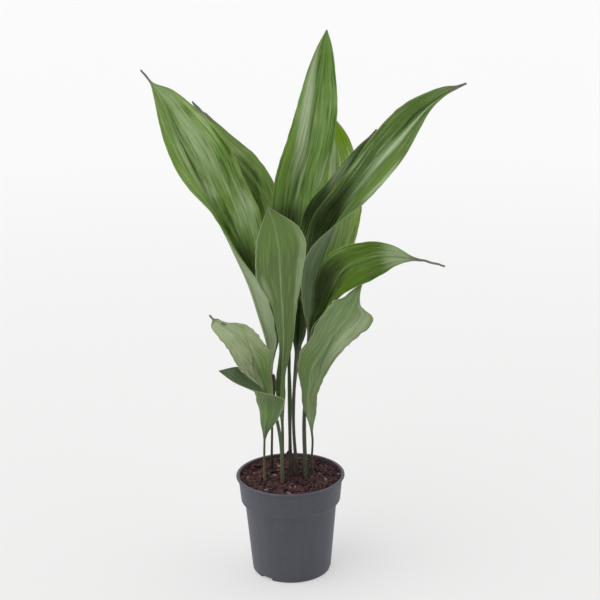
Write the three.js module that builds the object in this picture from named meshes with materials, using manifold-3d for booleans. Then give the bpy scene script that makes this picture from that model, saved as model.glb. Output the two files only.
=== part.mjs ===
// Cast iron plant in a plastic nursery pot. Millimetres, +Z up, seen from the front along +Y.
// The origin is the middle of the pot's base, on the surface that it stands on.
import * as THREE from "three";
import { mergeVertices } from "three/addons/utils/BufferGeometryUtils.js";
import Module from "manifold-3d";

const wasm = await Module();
wasm.setup();

// Pot: a thin moulded cup with a rolled lip, a straight collar and a tapered body
const potHeight = 130;
const potLipRadius = 70;
const potLipDepth = 2.4;
const potLipRounding = 0.6;
const potCollarRadius = 67.2;
const potCollarFootRadius = 64.2;
const potCollarHeight = 33;
const potCollarStep = 3;
const potBodyRadius = 59.4;
const potBaseRadius = 51.2;
const potBaseRounding = 3;
const potWall = 1.4;
const potSides = 48;
const channelCount = 3;
const channelFirstAngle = 230;
const channelWidth = 18;
const channelHeight = 4;
const channelStart = 20;
const drainRadius = 4.5;
const drainPlaces = [29, 41];
const drainSides = 16;
const cutOverrun = 10;

// Soil: fills the pot to a little below its lip
const soilLevel = 123;
const soilClearance = 0.3;
const soilShoulder = 2;
const soilBumps = 1.3;
const soilRings = 5;
const soilSides = 32;

// Leaves: each one is a stalk that widens into a blade
const stalkFoot = 102;
const stalkFootSwell = 0.7;
const stalkSwellHeight = 25;
const holeClearance = 0.35;
const bladeThickness = 0.8;
const midribThickness = 1.8;
const tipHalfWidth = 0.6;
const pleatDepth = 0.45;
const fullPleatWidth = 20;
const stalkMeltsBy = 0.14;
const rippleLag = 1.7;
const bentSag = 0.14;
const bladeColumns = 8;
const bladeStations = 20;
const stalkStations = 6;
const curveSteps = 20;
const colours = { upper: "#3f6326", under: "#7c9462", pot: "#56565c", soil: "#33211b" };

// path: the midrib from the foot in the soil to the tip. bladeFrom: where on it the blade starts.
// stalk: the radius of the stalk. halves: how far the blade reaches to the left and right of the
// midrib at parts of its length, as seen on its upper face. turn: which way that face looks, in
// degrees from the front towards the right. twist: a further turn along the blade. fold: how far
// each half is folded up from the midrib, at the start and later on, and where it gets so.
// curl: how far it bends back outwards. ripple: height, number and start of edge waves.
const leaves = [
  {
    name: "leaf_tall_middle",
    path: [
      [1, 9], [0, 15, 184], [0, 20, 233], [1, 27, 288], [3, 36, 350], [7, 46, 428], [16, 56, 496],
      [31, 64, 550], [41, 72, 599], [47, 79, 639], [54, 87, 685],
    ],
    bladeFrom: 3, stalk: 2.1,
    halves: [
      [0.1, 10], [0.2, 20], [0.32, 27], [0.45, 31], [0.6, 30, 31], [0.75, 25, 28], [0.86, 18.5, 19.5],
      [0.95, 8.8, 10],
    ],
    turn: 0, fold: [78, 22, 0.4], curl: 24, ripple: [2, 2, 0.4],
  },
  {
    name: "leaf_left_large",
    path: [
      [-25, 32], [-23, 24, 181], [-22, 19, 217], [-21, 15, 245], [-27, 11, 303], [-38, 10, 348],
      [-50, 10, 386], [-67, 11, 424], [-87, 14, 469], [-106, 21, 516], [-129, 31, 562],
      [-150, 43, 604], [-165, 50, 630], [-175, 54, 642],
    ],
    bladeFrom: 3, stalk: 1.6,
    halves: [
      [0.03, 4.5, 5], [0.1, 12, 12], [0.15, 18, 18], [0.24, 21, 23], [0.34, 26, 29], [0.43, 31.5, 43],
      [0.53, 32, 53], [0.62, 32, 51.5], [0.72, 28.5, 49], [0.81, 22.5, 39], [0.91, 8, 19.5],
      [0.95, 2, 2.5], [0.98, 1],
    ],
    turn: 70, fold: [85, 24, 1], curl: 26, ripple: [2, 3.5, 2.2],
    twist: [
      [0, 0], [0.15, 10], [0.22, 14], [0.29, 6], [0.43, -12], [0.55, -16], [0.62, -31], [0.7, -43],
      [0.81, -39], [1, -35],
    ],
  },
  {
    name: "leaf_left_back",
    path: [
      [-1, 27], [0, 34, 176], [1, 41, 229], [-2, 49, 283], [-12, 60, 343], [-27, 75, 406],
      [-43, 91, 461], [-65, 105, 501], [-85, 116, 531], [-105, 127, 569], [-120, 134, 595],
    ],
    bladeFrom: 3, stalk: 2.1,
    halves: [
      [0.1, 10], [0.2, 18], [0.3, 24], [0.45, 30, 34], [0.58, 34, 39.5], [0.7, 30, 36], [0.8, 24, 26.5],
      [0.9, 11, 12.5], [0.95, 2.5, 5],
    ],
    turn: 20, fold: [78, 24, 0.4], curl: 22, ripple: [2, 2.5, 1],
  },
  {
    name: "leaf_middle_back",
    path: [
      [8, 36], [5, 39, 174], [6, 41, 226], [15, 46, 289], [28, 56, 350], [43, 70, 403], [55, 84, 444],
      [62, 99, 480], [64, 119, 529], [57, 138, 578],
    ],
    bladeFrom: 3, stalk: 2.1,
    halves: [
      [0.1, 9], [0.25, 24, 26], [0.4, 33, 37], [0.55, 37, 39], [0.7, 33, 35.5], [0.8, 26, 27.5],
      [0.9, 16, 17.5], [0.96, 7, 8],
    ],
    turn: 5, fold: [78, 24, 0.4], curl: 22, ripple: [2, 2, 0],
  },
  {
    name: "leaf_right_large",
    path: [
      [20, 17], [19, 16, 183], [20, 12, 236], [24, 8, 291], [29, 4, 339], [35, 0, 380], [47, -3, 419],
      [59, -3, 453], [77, 1, 485], [100, 7, 515], [126, 14, 546], [149, 20, 570], [171, 25, 592],
      [195, 28, 609], [221, 32, 622],
    ],
    bladeFrom: 3, stalk: 2.2,
    halves: [
      [0.05, 4, 4], [0.1, 7, 9], [0.15, 13, 16], [0.2, 22, 23], [0.28, 33, 33], [0.4, 30.5, 33],
      [0.5, 24.5, 33], [0.6, 23.5, 33], [0.7, 26, 29.5], [0.8, 25, 16.5], [0.88, 15.5, 6],
      [0.94, 8.5, 1.8], [0.97, 3, 1],
    ],
    turn: -70, fold: [80, 34, 0.8], curl: 20, ripple: [2, 2.5, 0],
    twist: [
      [0, 0], [0.1, 0], [0.2, -6], [0.28, -14], [0.35, -7], [0.42, 17], [0.5, 36], [0.6, 40],
      [0.75, 43], [1, 33],
    ],
  },
  {
    name: "leaf_right_narrow",
    path: [
      [8, 18], [5, 22, 181], [6, 23, 227], [9, 23, 273], [12, 23, 300], [19, 21, 369], [29, 21, 420],
      [45, 25, 464], [63, 31, 493], [82, 38, 523], [99, 45, 547], [114, 52, 565],
    ],
    bladeFrom: 3, stalk: 2.1,
    halves: [
      [0.04, 6, 7], [0.08, 9, 11], [0.13, 10, 13], [0.22, 13, 14], [0.35, 16], [0.5, 21], [0.6, 24],
      [0.7, 18], [0.8, 12.5], [0.9, 7], [0.95, 3],
    ],
    turn: -10, fold: [50, 40, 0.4], curl: 20, ripple: [1.5, 2, 0],
  },
  {
    name: "leaf_right_arching",
    path: [
      [19.5, 8], [18, 6, 187], [21, 2, 243], [25, -3, 295], [33, -9, 328], [46, -19, 355],
      [60, -32, 382], [78, -47, 410], [101, -60, 425], [126, -72, 431], [152, -83, 430],
      [183, -95, 424],
    ],
    bladeFrom: 3, stalk: 2.2,
    halves: [
      [0.05, 3], [0.1, 5.2, 5], [0.2, 12.8, 11], [0.3, 22, 10], [0.4, 31.5, 12], [0.5, 33, 20],
      [0.6, 27, 23.4], [0.7, 20.8, 19], [0.77, 13.5, 10.5], [0.84, 3.5, 3.5], [0.89, 1.4], [0.95, 1],
    ],
    turn: -70, fold: [78, 24, 0.5], curl: 22, ripple: [1.5, 2, 1],
    twist: [[0, 0], [0.15, 0], [0.35, 30], [1, 40]],
  },
  {
    name: "leaf_front",
    path: [
      [-10, 7], [-9, -2, 190], [-10, -11, 240], [-7, -26, 288], [-5, -38, 334], [-6, -52, 380],
      [-7, -66, 418], [-8, -82, 450], [-12, -98, 478], [-18, -110, 500],
    ],
    bladeFrom: 1, stalk: 1.8,
    halves: [
      [0.05, 6, 7], [0.1, 7.5, 8.5], [0.15, 8.2, 9.5], [0.2, 6.2, 9], [0.25, 5.5, 8], [0.3, 7, 6.4],
      [0.35, 10, 5], [0.4, 12.3, 6], [0.5, 15.4, 10.3], [0.55, 17.8, 12.6], [0.6, 21, 20.5],
      [0.65, 24, 28], [0.7, 27, 30], [0.8, 32, 28], [0.85, 30.7, 24.6], [0.9, 24, 18.7],
      [0.95, 10.5, 11],
    ],
    turn: 180, fold: [70, 16, 0.5], curl: 18, ripple: [1.5, 2, 0],
  },
  {
    name: "leaf_left_small",
    path: [
      [-10, -6], [-11, -11, 171], [-15, -13, 204], [-21, -12, 224], [-29, -18, 255], [-37, -32, 288],
      [-49, -48, 312], [-60, -59, 332], [-71, -69, 344], [-81, -78, 354], [-91, -86, 368],
    ],
    bladeFrom: 2, stalk: 2.2,
    halves: [
      [0.05, 7, 11], [0.1, 12, 16], [0.2, 15.5, 16.7], [0.3, 13.8, 15.5], [0.35, 14.5, 17.8],
      [0.42, 22.5, 21], [0.5, 22.5, 22.3], [0.65, 22.5, 19.5], [0.75, 17.2, 17.8], [0.85, 8.5, 13],
      [0.9, 6, 10], [0.935, 4.5, 7], [0.955, 1.4, 1.6], [0.98, 1],
    ],
    turn: 205, fold: [78, 20, 0.4], curl: 18, ripple: [2, 2, 0],
  },
  {
    name: "leaf_right_small",
    path: [
      [28, 15], [28, 10, 147], [29, 2, 178], [24, -10, 215], [25, -20, 249], [30, -29, 283],
      [47, -39, 312], [63, -45, 337], [79, -49, 361], [90, -50, 394],
    ],
    bladeFrom: 2, stalk: 1.4,
    halves: [
      [0.1, 11, 12], [0.2, 12, 11], [0.3, 12, 11], [0.4, 17, 17], [0.5, 20, 21], [0.6, 19, 18.5],
      [0.7, 22, 22], [0.8, 27, 27], [0.845, 27, 26], [0.87, 17, 23], [0.9, 5, 17], [0.95, 1.5, 9],
    ],
    turn: 165, fold: [78, 18, 0.4], curl: 16, ripple: [2, 2, 2],
  },
];

// The bent leaf is given by its two edges: each row is a point on its left and on its right
const bentLeaf = {
  name: "leaf_left_bent",
  path: [[-33, -3], [-33, -6, 157], [-32, -14, 182]],
  stalk: 1.4,
  turn: 205,
  edges: [
    [[-26, -21, 196], [-34, -15, 194]],
    [[-19, -30, 208], [-36, -18, 207]],
    [[-10, -38, 226], [-37, -19, 224]],
    [[-5, -43, 242], [-41, -17, 238]],
    [[-6, -47, 249], [-38, -18, 247]],
    [[-19, -55, 257], [-34, -22, 254]],
    [[-38, -60, 264], [-40, -26, 262]],
    [[-50, -65, 270], [-50, -34, 273.5]],
    [[-63, -70, 278], [-59, -44, 286]],
    [[-72, -72, 285], [-63, -56, 294]],
  ],
  tip: [-83, -70, 293],
};

function smooth(from, to, at) {
  return THREE.MathUtils.smoothstep(at, from, to);
}

function mix(a, b, part) {
  return a + (b - a) * part;
}

// A smooth curve through [place, value] pairs, read at one place
function curveAt(pairs, place) {
  const last = pairs.length - 1;
  if (place <= pairs[0][0]) return pairs[0][1];
  if (place >= pairs[last][0]) return pairs[last][1];
  const k = pairs.findIndex((pair) => pair[0] > place) - 1;
  const slope = (i, j) => (pairs[j][1] - pairs[i][1]) / (pairs[j][0] - pairs[i][0]);
  const before = slope(Math.max(k - 1, 0), k + 1);
  const after = slope(k, Math.min(k + 2, last));
  const run = pairs[k + 1][0] - pairs[k][0];
  const t = (place - pairs[k][0]) / run;
  const rise = (1 - t) * (1 - t) * (pairs[k][1] * (1 + 2 * t) + before * run * t);
  return rise + t * t * (pairs[k + 1][1] * (3 - 2 * t) - after * run * (1 - t));
}

// The solid of a closed mesh, for cutting and joining
function solidOf(geometry) {
  const bare = geometry.clone();
  bare.deleteAttribute("normal");
  bare.deleteAttribute("uv");
  const merged = mergeVertices(bare, 1e-4);
  const triVerts = new Uint32Array(merged.index.array);
  const vertProperties = new Float32Array(merged.attributes.position.array);
  return new wasm.Manifold(new wasm.Mesh({ numProp: 3, vertProperties, triVerts }));
}

function meshOf(solid, name, material) {
  const made = solid.getMesh();
  const geometry = new THREE.BufferGeometry();
  geometry.setAttribute("position", new THREE.BufferAttribute(new Float32Array(made.vertProperties), 3));
  geometry.setIndex(new THREE.BufferAttribute(new Uint32Array(made.triVerts), 1));
  geometry.computeVertexNormals();
  const mesh = new THREE.Mesh(geometry, material);
  mesh.name = name;
  return mesh;
}

// A skin over rings of points, with its two ends closed. From backFrom on round each ring the
// other diagonal splits it, so that both faces of a blade are split alike.
function skin(rings, backFrom) {
  const around = rings[0].length;
  const points = rings.flat();
  const index = [];
  for (let i = 0; i + 1 < rings.length; i++) {
    for (let j = 0; j < around; j++) {
      const a = i * around + j;
      const b = i * around + ((j + 1) % around);
      const c = b + around;
      const d = a + around;
      if (j < backFrom) index.push(a, b, c, a, c, d);
      else index.push(a, b, d, b, c, d);
    }
  }
  for (const [row, turned] of [[0, true], [rings.length - 1, false]]) {
    const centre = points.length;
    const middle = new THREE.Vector3();
    rings[row].forEach((p) => middle.add(p));
    points.push(middle.divideScalar(around));
    for (let j = 0; j < around; j++) {
      const a = row * around + j;
      const b = row * around + ((j + 1) % around);
      if (turned) index.push(centre, b, a);
      else index.push(centre, a, b);
    }
  }
  const geometry = new THREE.BufferGeometry().setFromPoints(points);
  geometry.setIndex(index);
  return geometry;
}

// Places and directions along a leaf's midrib: first the stalk, then the blade
function midribOf(leaf) {
  const [footX, footY] = leaf.path[0];
  const fixed = [[footX, footY, stalkFoot], [footX, footY, soilLevel]];
  const points = fixed.concat(leaf.path.slice(1)).map((p) => new THREE.Vector3(...p));
  const curve = new THREE.CatmullRomCurve3(points, false, "catmullrom", 0.5);
  curve.arcLengthDivisions = (points.length - 1) * curveSteps;
  const lengths = curve.getLengths();
  const total = lengths[lengths.length - 1];
  const bladeStart = leaf.edges ? 1 : lengths[(leaf.bladeFrom + 1) * curveSteps] / total;
  const places = [];
  for (let i = 0; i < stalkStations; i++) places.push([(bladeStart * i) / stalkStations, 0]);
  if (leaf.edges) places.push([1, 0]);
  else {
    for (let i = 0; i <= bladeStations; i++) {
      const u = i / bladeStations;
      places.push([mix(bladeStart, 1, u), u]);
    }
  }
  const turn = THREE.MathUtils.degToRad(leaf.turn ?? 0);
  let face = new THREE.Vector3(Math.sin(turn), -Math.cos(turn), 0);
  return places.map(([place, u]) => {
    const at = curve.getPointAt(place);
    const along = curve.getTangentAt(place);
    face = face.clone().addScaledVector(along, -face.dot(along)).normalize();
    const twist = THREE.MathUtils.degToRad(curveAt(leaf.twist ?? [[0, 0], [1, 0]], u));
    const front = face.clone().applyAxisAngle(along, twist);
    const side = new THREE.Vector3().crossVectors(along, front);
    return { at, along, front, side, u, inBlade: place >= bladeStart, height: at.z };
  });
}

// The outline of a stalk: an even ring, upper half first, that lines up with a blade's outline
function stalkOutline(radius) {
  const outline = [];
  const edge = Math.PI / (2 * (bladeColumns + 1));
  for (let j = 0; j <= bladeColumns; j++) {
    const angle = mix(Math.PI - edge, edge, j / bladeColumns);
    outline.push(new THREE.Vector2(radius * Math.cos(angle), radius * Math.sin(angle)));
  }
  for (let j = bladeColumns; j >= 0; j--) {
    outline.push(new THREE.Vector2(outline[j].x, -outline[j].y));
  }
  return outline;
}

// The outline of a blade across its midrib, x to the right and y up from the upper face
function bladeOutline(leaf, u) {
  const halves = [[0, leaf.stalk], ...leaf.halves, [1, tipHalfWidth]];
  const reach = [1, 2].map((side) => curveAt(halves.map((row) => [row[0], row[side] ?? row[1]]), u));
  const [foldAtStart, foldLater, opensBy] = leaf.fold;
  const fold = THREE.MathUtils.degToRad(mix(foldAtStart, foldLater, smooth(0, opensBy, u)));
  const curl = THREE.MathUtils.degToRad(leaf.curl);
  const [height, waves, start] = leaf.ripple;
  const upper = [];
  for (let j = 0; j <= bladeColumns; j++) {
    const across = (2 * j) / bladeColumns - 1;
    const out = Math.abs(across);
    const half = reach[across > 0 ? 1 : 0];
    const share = Math.min(1, half / fullPleatWidth);
    const x = (half * (Math.sin(fold) - Math.sin(fold - curl * out))) / curl;
    let y = (half * (Math.cos(fold - curl * out) - Math.cos(fold))) / curl;
    const phase = 2 * Math.PI * waves * u + start + (across > 0 ? rippleLag : 0);
    y += height * out * out * Math.sin(phase) * Math.sin(Math.PI * u) * share;
    y += (j % 2 ? pleatDepth : -pleatDepth) * share;
    upper.push(new THREE.Vector2(Math.sign(across) * x, y));
  }
  const lower = upper.map((p, j) => {
    const before = upper[Math.max(j - 1, 0)];
    const after = upper[Math.min(j + 1, bladeColumns)];
    const down = new THREE.Vector2(after.y - before.y, before.x - after.x).normalize();
    const atMidrib = j === bladeColumns / 2;
    return p.clone().addScaledVector(down, atMidrib ? midribThickness : bladeThickness);
  });
  return [...upper, ...lower.reverse()];
}

function leafRings(leaf) {
  return midribOf(leaf).map(({ at, front, side, u, inBlade, height }) => {
    const swell = stalkFootSwell * (1 - smooth(soilLevel, soilLevel + stalkSwellHeight, height));
    const stalk = stalkOutline(leaf.stalk + swell);
    const blade = inBlade && !leaf.edges ? bladeOutline(leaf, u) : stalk;
    const part = leaf.edges ? 0 : smooth(0, stalkMeltsBy, u);
    return stalk.map((p, k) => {
      const x = mix(p.x, blade[k].x, part);
      const y = mix(p.y, blade[k].y, part);
      return at.clone().addScaledVector(side, x).addScaledVector(front, y);
    });
  });
}

// The bent leaf's blade, row by row between its edges, as rings that carry on from its stalk
function bentRings(leaf) {
  const rows = leaf.edges.map((pair) => pair.map((p) => new THREE.Vector3(...p)));
  const tip = new THREE.Vector3(...leaf.tip);
  rows.push([tip, tip.clone().add(new THREE.Vector3(0, 0, bladeThickness))]);
  const middles = rows.map(([left, right]) => left.clone().lerp(right, 0.5));
  return rows.map(([left, right], i) => {
    const before = middles[Math.max(i - 1, 0)];
    const after = middles[Math.min(i + 1, rows.length - 1)];
    const along = after.clone().sub(before).normalize();
    const across = right.clone().sub(left);
    const face = new THREE.Vector3().crossVectors(across, along).normalize();
    const sag = bentSag * across.length();
    const upper = [];
    const lower = [];
    for (let j = 0; j <= bladeColumns; j++) {
      const part = j / bladeColumns;
      const bow = sag * (1 - (2 * part - 1) ** 2);
      const p = left.clone().lerp(right, part).addScaledVector(face, -bow);
      upper.push(p);
      lower.push(p.clone().addScaledVector(face, -bladeThickness));
    }
    return [...upper, ...lower.reverse()];
  });
}

function makeLeaf(leaf, material) {
  const rings = leafRings(leaf);
  if (leaf.edges) rings.push(...bentRings(leaf));
  return meshOf(solidOf(skin(rings, bladeColumns + 1)), leaf.name, material);
}

// The hole that a leaf's stalk stands in
function stalkHole(leaf) {
  const rings = midribOf(leaf)
    .filter(({ height }) => height < soilLevel + stalkSwellHeight + cutOverrun)
    .map(({ at, front, side }) =>
      stalkOutline(leaf.stalk + stalkFootSwell + holeClearance).map((p) =>
        at.clone().addScaledVector(side, p.x).addScaledVector(front, p.y)));
  rings[0].forEach((p) => (p.z -= holeClearance));
  return solidOf(skin(rings, bladeColumns + 1));
}

function turnedSolid(outline, sides) {
  const points = outline.map(([r, z]) => new THREE.Vector2(r, z));
  const geometry = new THREE.LatheGeometry(points, sides);
  return solidOf(geometry.rotateX(Math.PI / 2));
}

// A raised drainage channel under the base, grown by a margin, from near the middle to the foot's edge
function channelSolids(margin) {
  const length = potBaseRadius + cutOverrun - channelStart;
  const height = channelHeight + margin;
  return Array.from({ length: channelCount }, (_, i) => {
    const angle = THREE.MathUtils.degToRad(channelFirstAngle + (360 / channelCount) * i);
    const box = new THREE.BoxGeometry(length + margin, channelWidth + 2 * margin, 2 * height);
    box.translate(channelStart + (length - margin) / 2, 0, 0).rotateZ(angle);
    return solidOf(box);
  });
}

function drainSolids() {
  const holes = [];
  for (let i = 0; i < channelCount; i++) {
    const angle = THREE.MathUtils.degToRad(channelFirstAngle + (360 / channelCount) * i);
    for (const place of drainPlaces) {
      const hole = new THREE.CylinderGeometry(drainRadius, drainRadius, 2 * cutOverrun, drainSides);
      hole.rotateX(Math.PI / 2);
      hole.translate(place * Math.cos(angle), place * Math.sin(angle), 0);
      holes.push(solidOf(hole));
    }
  }
  return holes;
}

const collarFoot = potHeight - potCollarHeight;

function makePot(material) {
  const lipFoot = potHeight - potLipDepth;
  const lipInside = potCollarRadius - potWall;
  const outside = [
    [0, 0], [potBaseRadius - potBaseRounding, 0],
    [potBaseRadius - potBaseRounding * 0.3, potBaseRounding * 0.3],
    [potBaseRadius, potBaseRounding], [potBodyRadius, collarFoot - potCollarStep],
    [potCollarFootRadius, collarFoot], [potCollarRadius, lipFoot - potLipRounding],
    [potLipRadius - potLipRounding, lipFoot], [potLipRadius, lipFoot + potLipDepth / 2],
    [potLipRadius - potLipRounding, potHeight], [lipInside + potLipRounding, potHeight],
    [lipInside, potHeight - potLipRounding], [0, potHeight - potLipRounding],
  ];
  const inside = insideOutline(0, potHeight + cutOverrun);
  let pot = turnedSolid(outside, potSides);
  let room = turnedSolid(inside, potSides);
  for (const channel of channelSolids(0)) pot = pot.subtract(channel);
  for (const channel of channelSolids(potWall)) room = room.subtract(channel);
  pot = pot.subtract(room);
  for (const hole of drainSolids()) pot = pot.subtract(hole);
  return meshOf(pot, "pot", material);
}

// The outline of the room inside the pot, drawn in by a clearance, up to a given height
function insideOutline(clearance, top) {
  const inset = potWall + clearance;
  const points = [
    [0, potWall + clearance],
    [potBaseRadius - inset - potBaseRounding * 0.5, potWall + clearance],
    [potBaseRadius - inset, potWall + potBaseRounding],
    [potBodyRadius - inset, collarFoot - potCollarStep + potWall],
    [potCollarFootRadius - inset, collarFoot + potWall],
  ];
  const rise = (top - collarFoot) / (potHeight - collarFoot);
  points.push([mix(potCollarFootRadius, potCollarRadius, rise) - inset, top], [0, top]);
  return points;
}

// Small heaps and hollows on the soil, from a few crossing waves
function soilHeight(x, y) {
  const long = Math.sin(0.11 * x + 0.6) * Math.cos(0.13 * y - 0.4);
  const short = Math.sin(0.31 * x - 0.27 * y) * Math.cos(0.23 * x + 0.37 * y + 1);
  return soilBumps * (0.6 * long + 0.5 * short);
}

// The soil's outline gives its sides and underside, and a net of rings gives its bumpy top
function makeSoil(material) {
  const outline = insideOutline(soilClearance, soilLevel - soilShoulder);
  const sides = outline.slice(1, -1);
  const rim = outline[outline.length - 2][0];
  for (let i = soilRings - 1; i > 0; i--) sides.push([(rim * i) / soilRings, soilLevel]);
  const rings = sides.map(([radius, z]) =>
    Array.from({ length: soilSides }, (_, k) => {
      const angle = (2 * Math.PI * k) / soilSides;
      const x = radius * Math.cos(angle);
      const y = radius * Math.sin(angle);
      return new THREE.Vector3(x, y, z === soilLevel ? z + soilHeight(x, y) : z);
    }));
  let soil = solidOf(skin(rings, soilSides));
  for (const channel of channelSolids(potWall + soilClearance)) soil = soil.subtract(channel);
  for (const leaf of [...leaves, bentLeaf]) soil = soil.subtract(stalkHole(leaf));
  return meshOf(soil, "soil", material);
}

function finish(colour, roughness) {
  return new THREE.MeshStandardMaterial({ color: colour, roughness, metalness: 0 });
}

const plant = new THREE.Group();
plant.add(makePot(finish(colours.pot, 0.5)));
plant.add(makeSoil(finish(colours.soil, 0.95)));
for (const leaf of leaves) plant.add(makeLeaf(leaf, finish(colours.upper, 0.4)));
plant.add(makeLeaf(bentLeaf, finish(colours.under, 0.5)));

export default plant;
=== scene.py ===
import bisect
import math
import random

import bpy
from mathutils import Euler, Matrix, Quaternion, Vector, noise


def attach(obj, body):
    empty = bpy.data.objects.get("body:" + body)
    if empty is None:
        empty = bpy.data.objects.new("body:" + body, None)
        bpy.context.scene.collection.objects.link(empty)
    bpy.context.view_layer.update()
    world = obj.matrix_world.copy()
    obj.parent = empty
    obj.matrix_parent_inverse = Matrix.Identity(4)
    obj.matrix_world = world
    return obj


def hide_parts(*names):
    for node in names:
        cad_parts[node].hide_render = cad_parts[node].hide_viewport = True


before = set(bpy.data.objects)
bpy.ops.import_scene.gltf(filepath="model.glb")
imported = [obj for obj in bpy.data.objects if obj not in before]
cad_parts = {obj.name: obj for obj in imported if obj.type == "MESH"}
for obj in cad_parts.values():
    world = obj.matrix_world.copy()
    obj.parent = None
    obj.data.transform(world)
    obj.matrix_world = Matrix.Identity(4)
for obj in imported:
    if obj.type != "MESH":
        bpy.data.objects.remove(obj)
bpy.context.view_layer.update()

# Cast iron plant in a plastic nursery pot, +Z up. The front view looks along +Y.
# Blender's lengths are metres. The stage's sizes are metres too, and those of the pieces millimetres.
mm = 0.001


# Small helpers that every piece uses
def clearSelection():
    bpy.ops.object.select_all(action="DESELECT")


def onlySelect(piece):
    clearSelection()
    piece.select_set(True)
    bpy.context.view_layer.objects.active = piece


def applyModifier(piece, kind, settings):
    onlySelect(piece)
    modifier = piece.modifiers.new(kind.lower(), kind)
    for name, value in settings.items():
        setattr(modifier, name, value)
    bpy.ops.object.modifier_apply(modifier=modifier.name)


def turnFacesOut():
    # the last step in edit mode
    bpy.ops.mesh.select_all(action="SELECT")
    bpy.ops.mesh.normals_make_consistent(inside=False)
    bpy.ops.object.mode_set(mode="OBJECT")


def smooth(low, high, at):
    # 0 at low, 1 at high, and an even curve between them
    part = min(1, max(0, (at - low) / (high - low)))
    return part * part * (3 - 2 * part)


def mix(a, b, part):
    return a + (b - a) * part


def wobble(x, y, z):
    return noise.noise(Vector((x, y, z)))


def paint(hexColour):
    # sRGB hex to the linear colour that a shader socket takes
    channels = [int(hexColour[k:k + 2], 16) / 255 for k in (1, 3, 5)]
    return tuple(c / 12.92 if c <= 0.04045 else ((c + 0.055) / 1.055) ** 2.4 for c in channels) + (1,)


def newMaterial(name):
    material = bpy.data.materials.new(name)
    material.use_nodes = True
    material.node_tree.nodes.clear()
    return material, material.node_tree


def addNode(tree, kind, settings=None, links=None, stops=()):
    # stops are a colour ramp's places and colours
    node = tree.nodes.new("ShaderNode" + kind)
    for name, value in (settings or {}).items():
        setattr(node, name, value)
    for name, value in (links or {}).items():
        if isinstance(value, bpy.types.NodeSocket):
            tree.links.new(value, node.inputs[name])
        else:
            node.inputs[name].default_value = value
    for _ in stops[2:]:
        node.color_ramp.elements.new(0.5)
    for k, (place, colour) in enumerate(stops):
        node.color_ramp.elements[k].position = place
        node.color_ramp.elements[k].color = paint(colour)
    return node


def weigh(tree, parts):
    # the sum of some patterns, each times its share
    total = 0
    for pattern, share in parts:
        node = addNode(tree, "Math", {"operation": "MULTIPLY_ADD"}, {0: pattern, 1: share, 2: total})
        total = node.outputs["Value"]
    return total


def finishMaterial(material, links):
    tree = material.node_tree
    shader = addNode(tree, "BsdfPrincipled", None, links)
    addNode(tree, "OutputMaterial", None, {"Surface": shader.outputs["BSDF"]})
    return material


def finishPiece(piece, name, material, slot, *nodes):
    piece.name = name
    piece.data.name = name
    piece.data.materials.clear()
    piece.data.materials.append(material)
    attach(piece, "root")
    if nodes:
        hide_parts(*nodes)


# Camera, floor and light
stage = {
    "cameraPlace": (0.0157, -1.439, 0.747),
    "lookDown": 15,
    "roll": -0.85,
    "lens": 72,
    "sensorWidth": 36,
    "seesTo": 300,
    "floorSize": 200,
    # painted shade: the floor is greyer near the pot
    "floorNear": "#adadac",
    "floorFar": "#b9b9ba",
    "floorFades": (0.1, 4.0),
    "floorGlow": 0.42,
    "surroundBehind": "#f9f9f9",
    "surroundInFront": "#666667",
    "surroundFades": (-0.8, 0.5),
    "surroundStrength": 0.96,
    "surroundSeen": "#fbfbfc",
    "keyStrength": 1.55,
    "keyWidth": 70,
    "keyFrom": (-0.75, -0.5, 1.0),
    "fillStrength": 0.5,
    "fillWidth": 70,
    "fillFrom": (1.0, -0.25, 0.7),
}


def makeStage():
    scene = bpy.context.scene
    scene.view_settings.view_transform = "Standard"
    clearSelection()
    bpy.ops.object.camera_add(location=stage["cameraPlace"])
    camera = bpy.context.object
    camera.name = "photoCamera"
    camera.rotation_mode = "ZXY"
    camera.rotation_euler = (math.radians(90 - stage["lookDown"]), 0, math.radians(stage["roll"]))
    camera.data.lens = stage["lens"]
    camera.data.sensor_width = stage["sensorWidth"]
    camera.data.clip_end = stage["seesTo"]
    scene.camera = camera

    bpy.ops.mesh.primitive_plane_add(size=stage["floorSize"])
    floor = bpy.context.object
    floor.name = "floor"
    floor.data.materials.append(makeFloorAcrylic())

    makeSurround(scene)
    for name in ("key", "fill"):
        bpy.ops.object.light_add(type="SUN", location=Vector(stage[name + "From"]))
        light = bpy.context.object
        light.name = name + "Light"
        light.rotation_mode = "QUATERNION"
        light.rotation_quaternion = Vector(stage[name + "From"]).to_track_quat("Z", "Y")
        light.data.energy = stage[name + "Strength"]
        light.data.angle = math.radians(stage[name + "Width"])


def makeSurround(scene):
    # a bright room behind the plant and a dim one in front of it, which give the leaves their light
    world = bpy.data.worlds.new("studioSurround")
    scene.world = world
    world.use_nodes = True
    tree = world.node_tree
    way = addNode(tree, "SeparateXYZ", None, {"Vector": addNode(tree, "TexCoord").outputs["Generated"]})
    share = addNode(tree, "MapRange", {"interpolation_type": "SMOOTHSTEP"}, {
        "Value": way.outputs["Y"],
        "From Min": stage["surroundFades"][0], "From Max": stage["surroundFades"][1]})
    room = addNode(tree, "Mix", {"data_type": "RGBA"}, {
        0: share.outputs["Result"], 6: paint(stage["surroundInFront"]), 7: paint(stage["surroundBehind"])})
    # the camera sees plain pale paper behind the floor's edge
    seen = addNode(tree, "LightPath").outputs["Is Camera Ray"]
    colour = addNode(tree, "Mix", {"data_type": "RGBA"}, {
        0: seen, 6: room.outputs[2], 7: paint(stage["surroundSeen"])})
    surround = tree.nodes["Background"]
    tree.links.new(colour.outputs[2], surround.inputs["Color"])
    surround.inputs["Strength"].default_value = stage["surroundStrength"]


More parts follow.
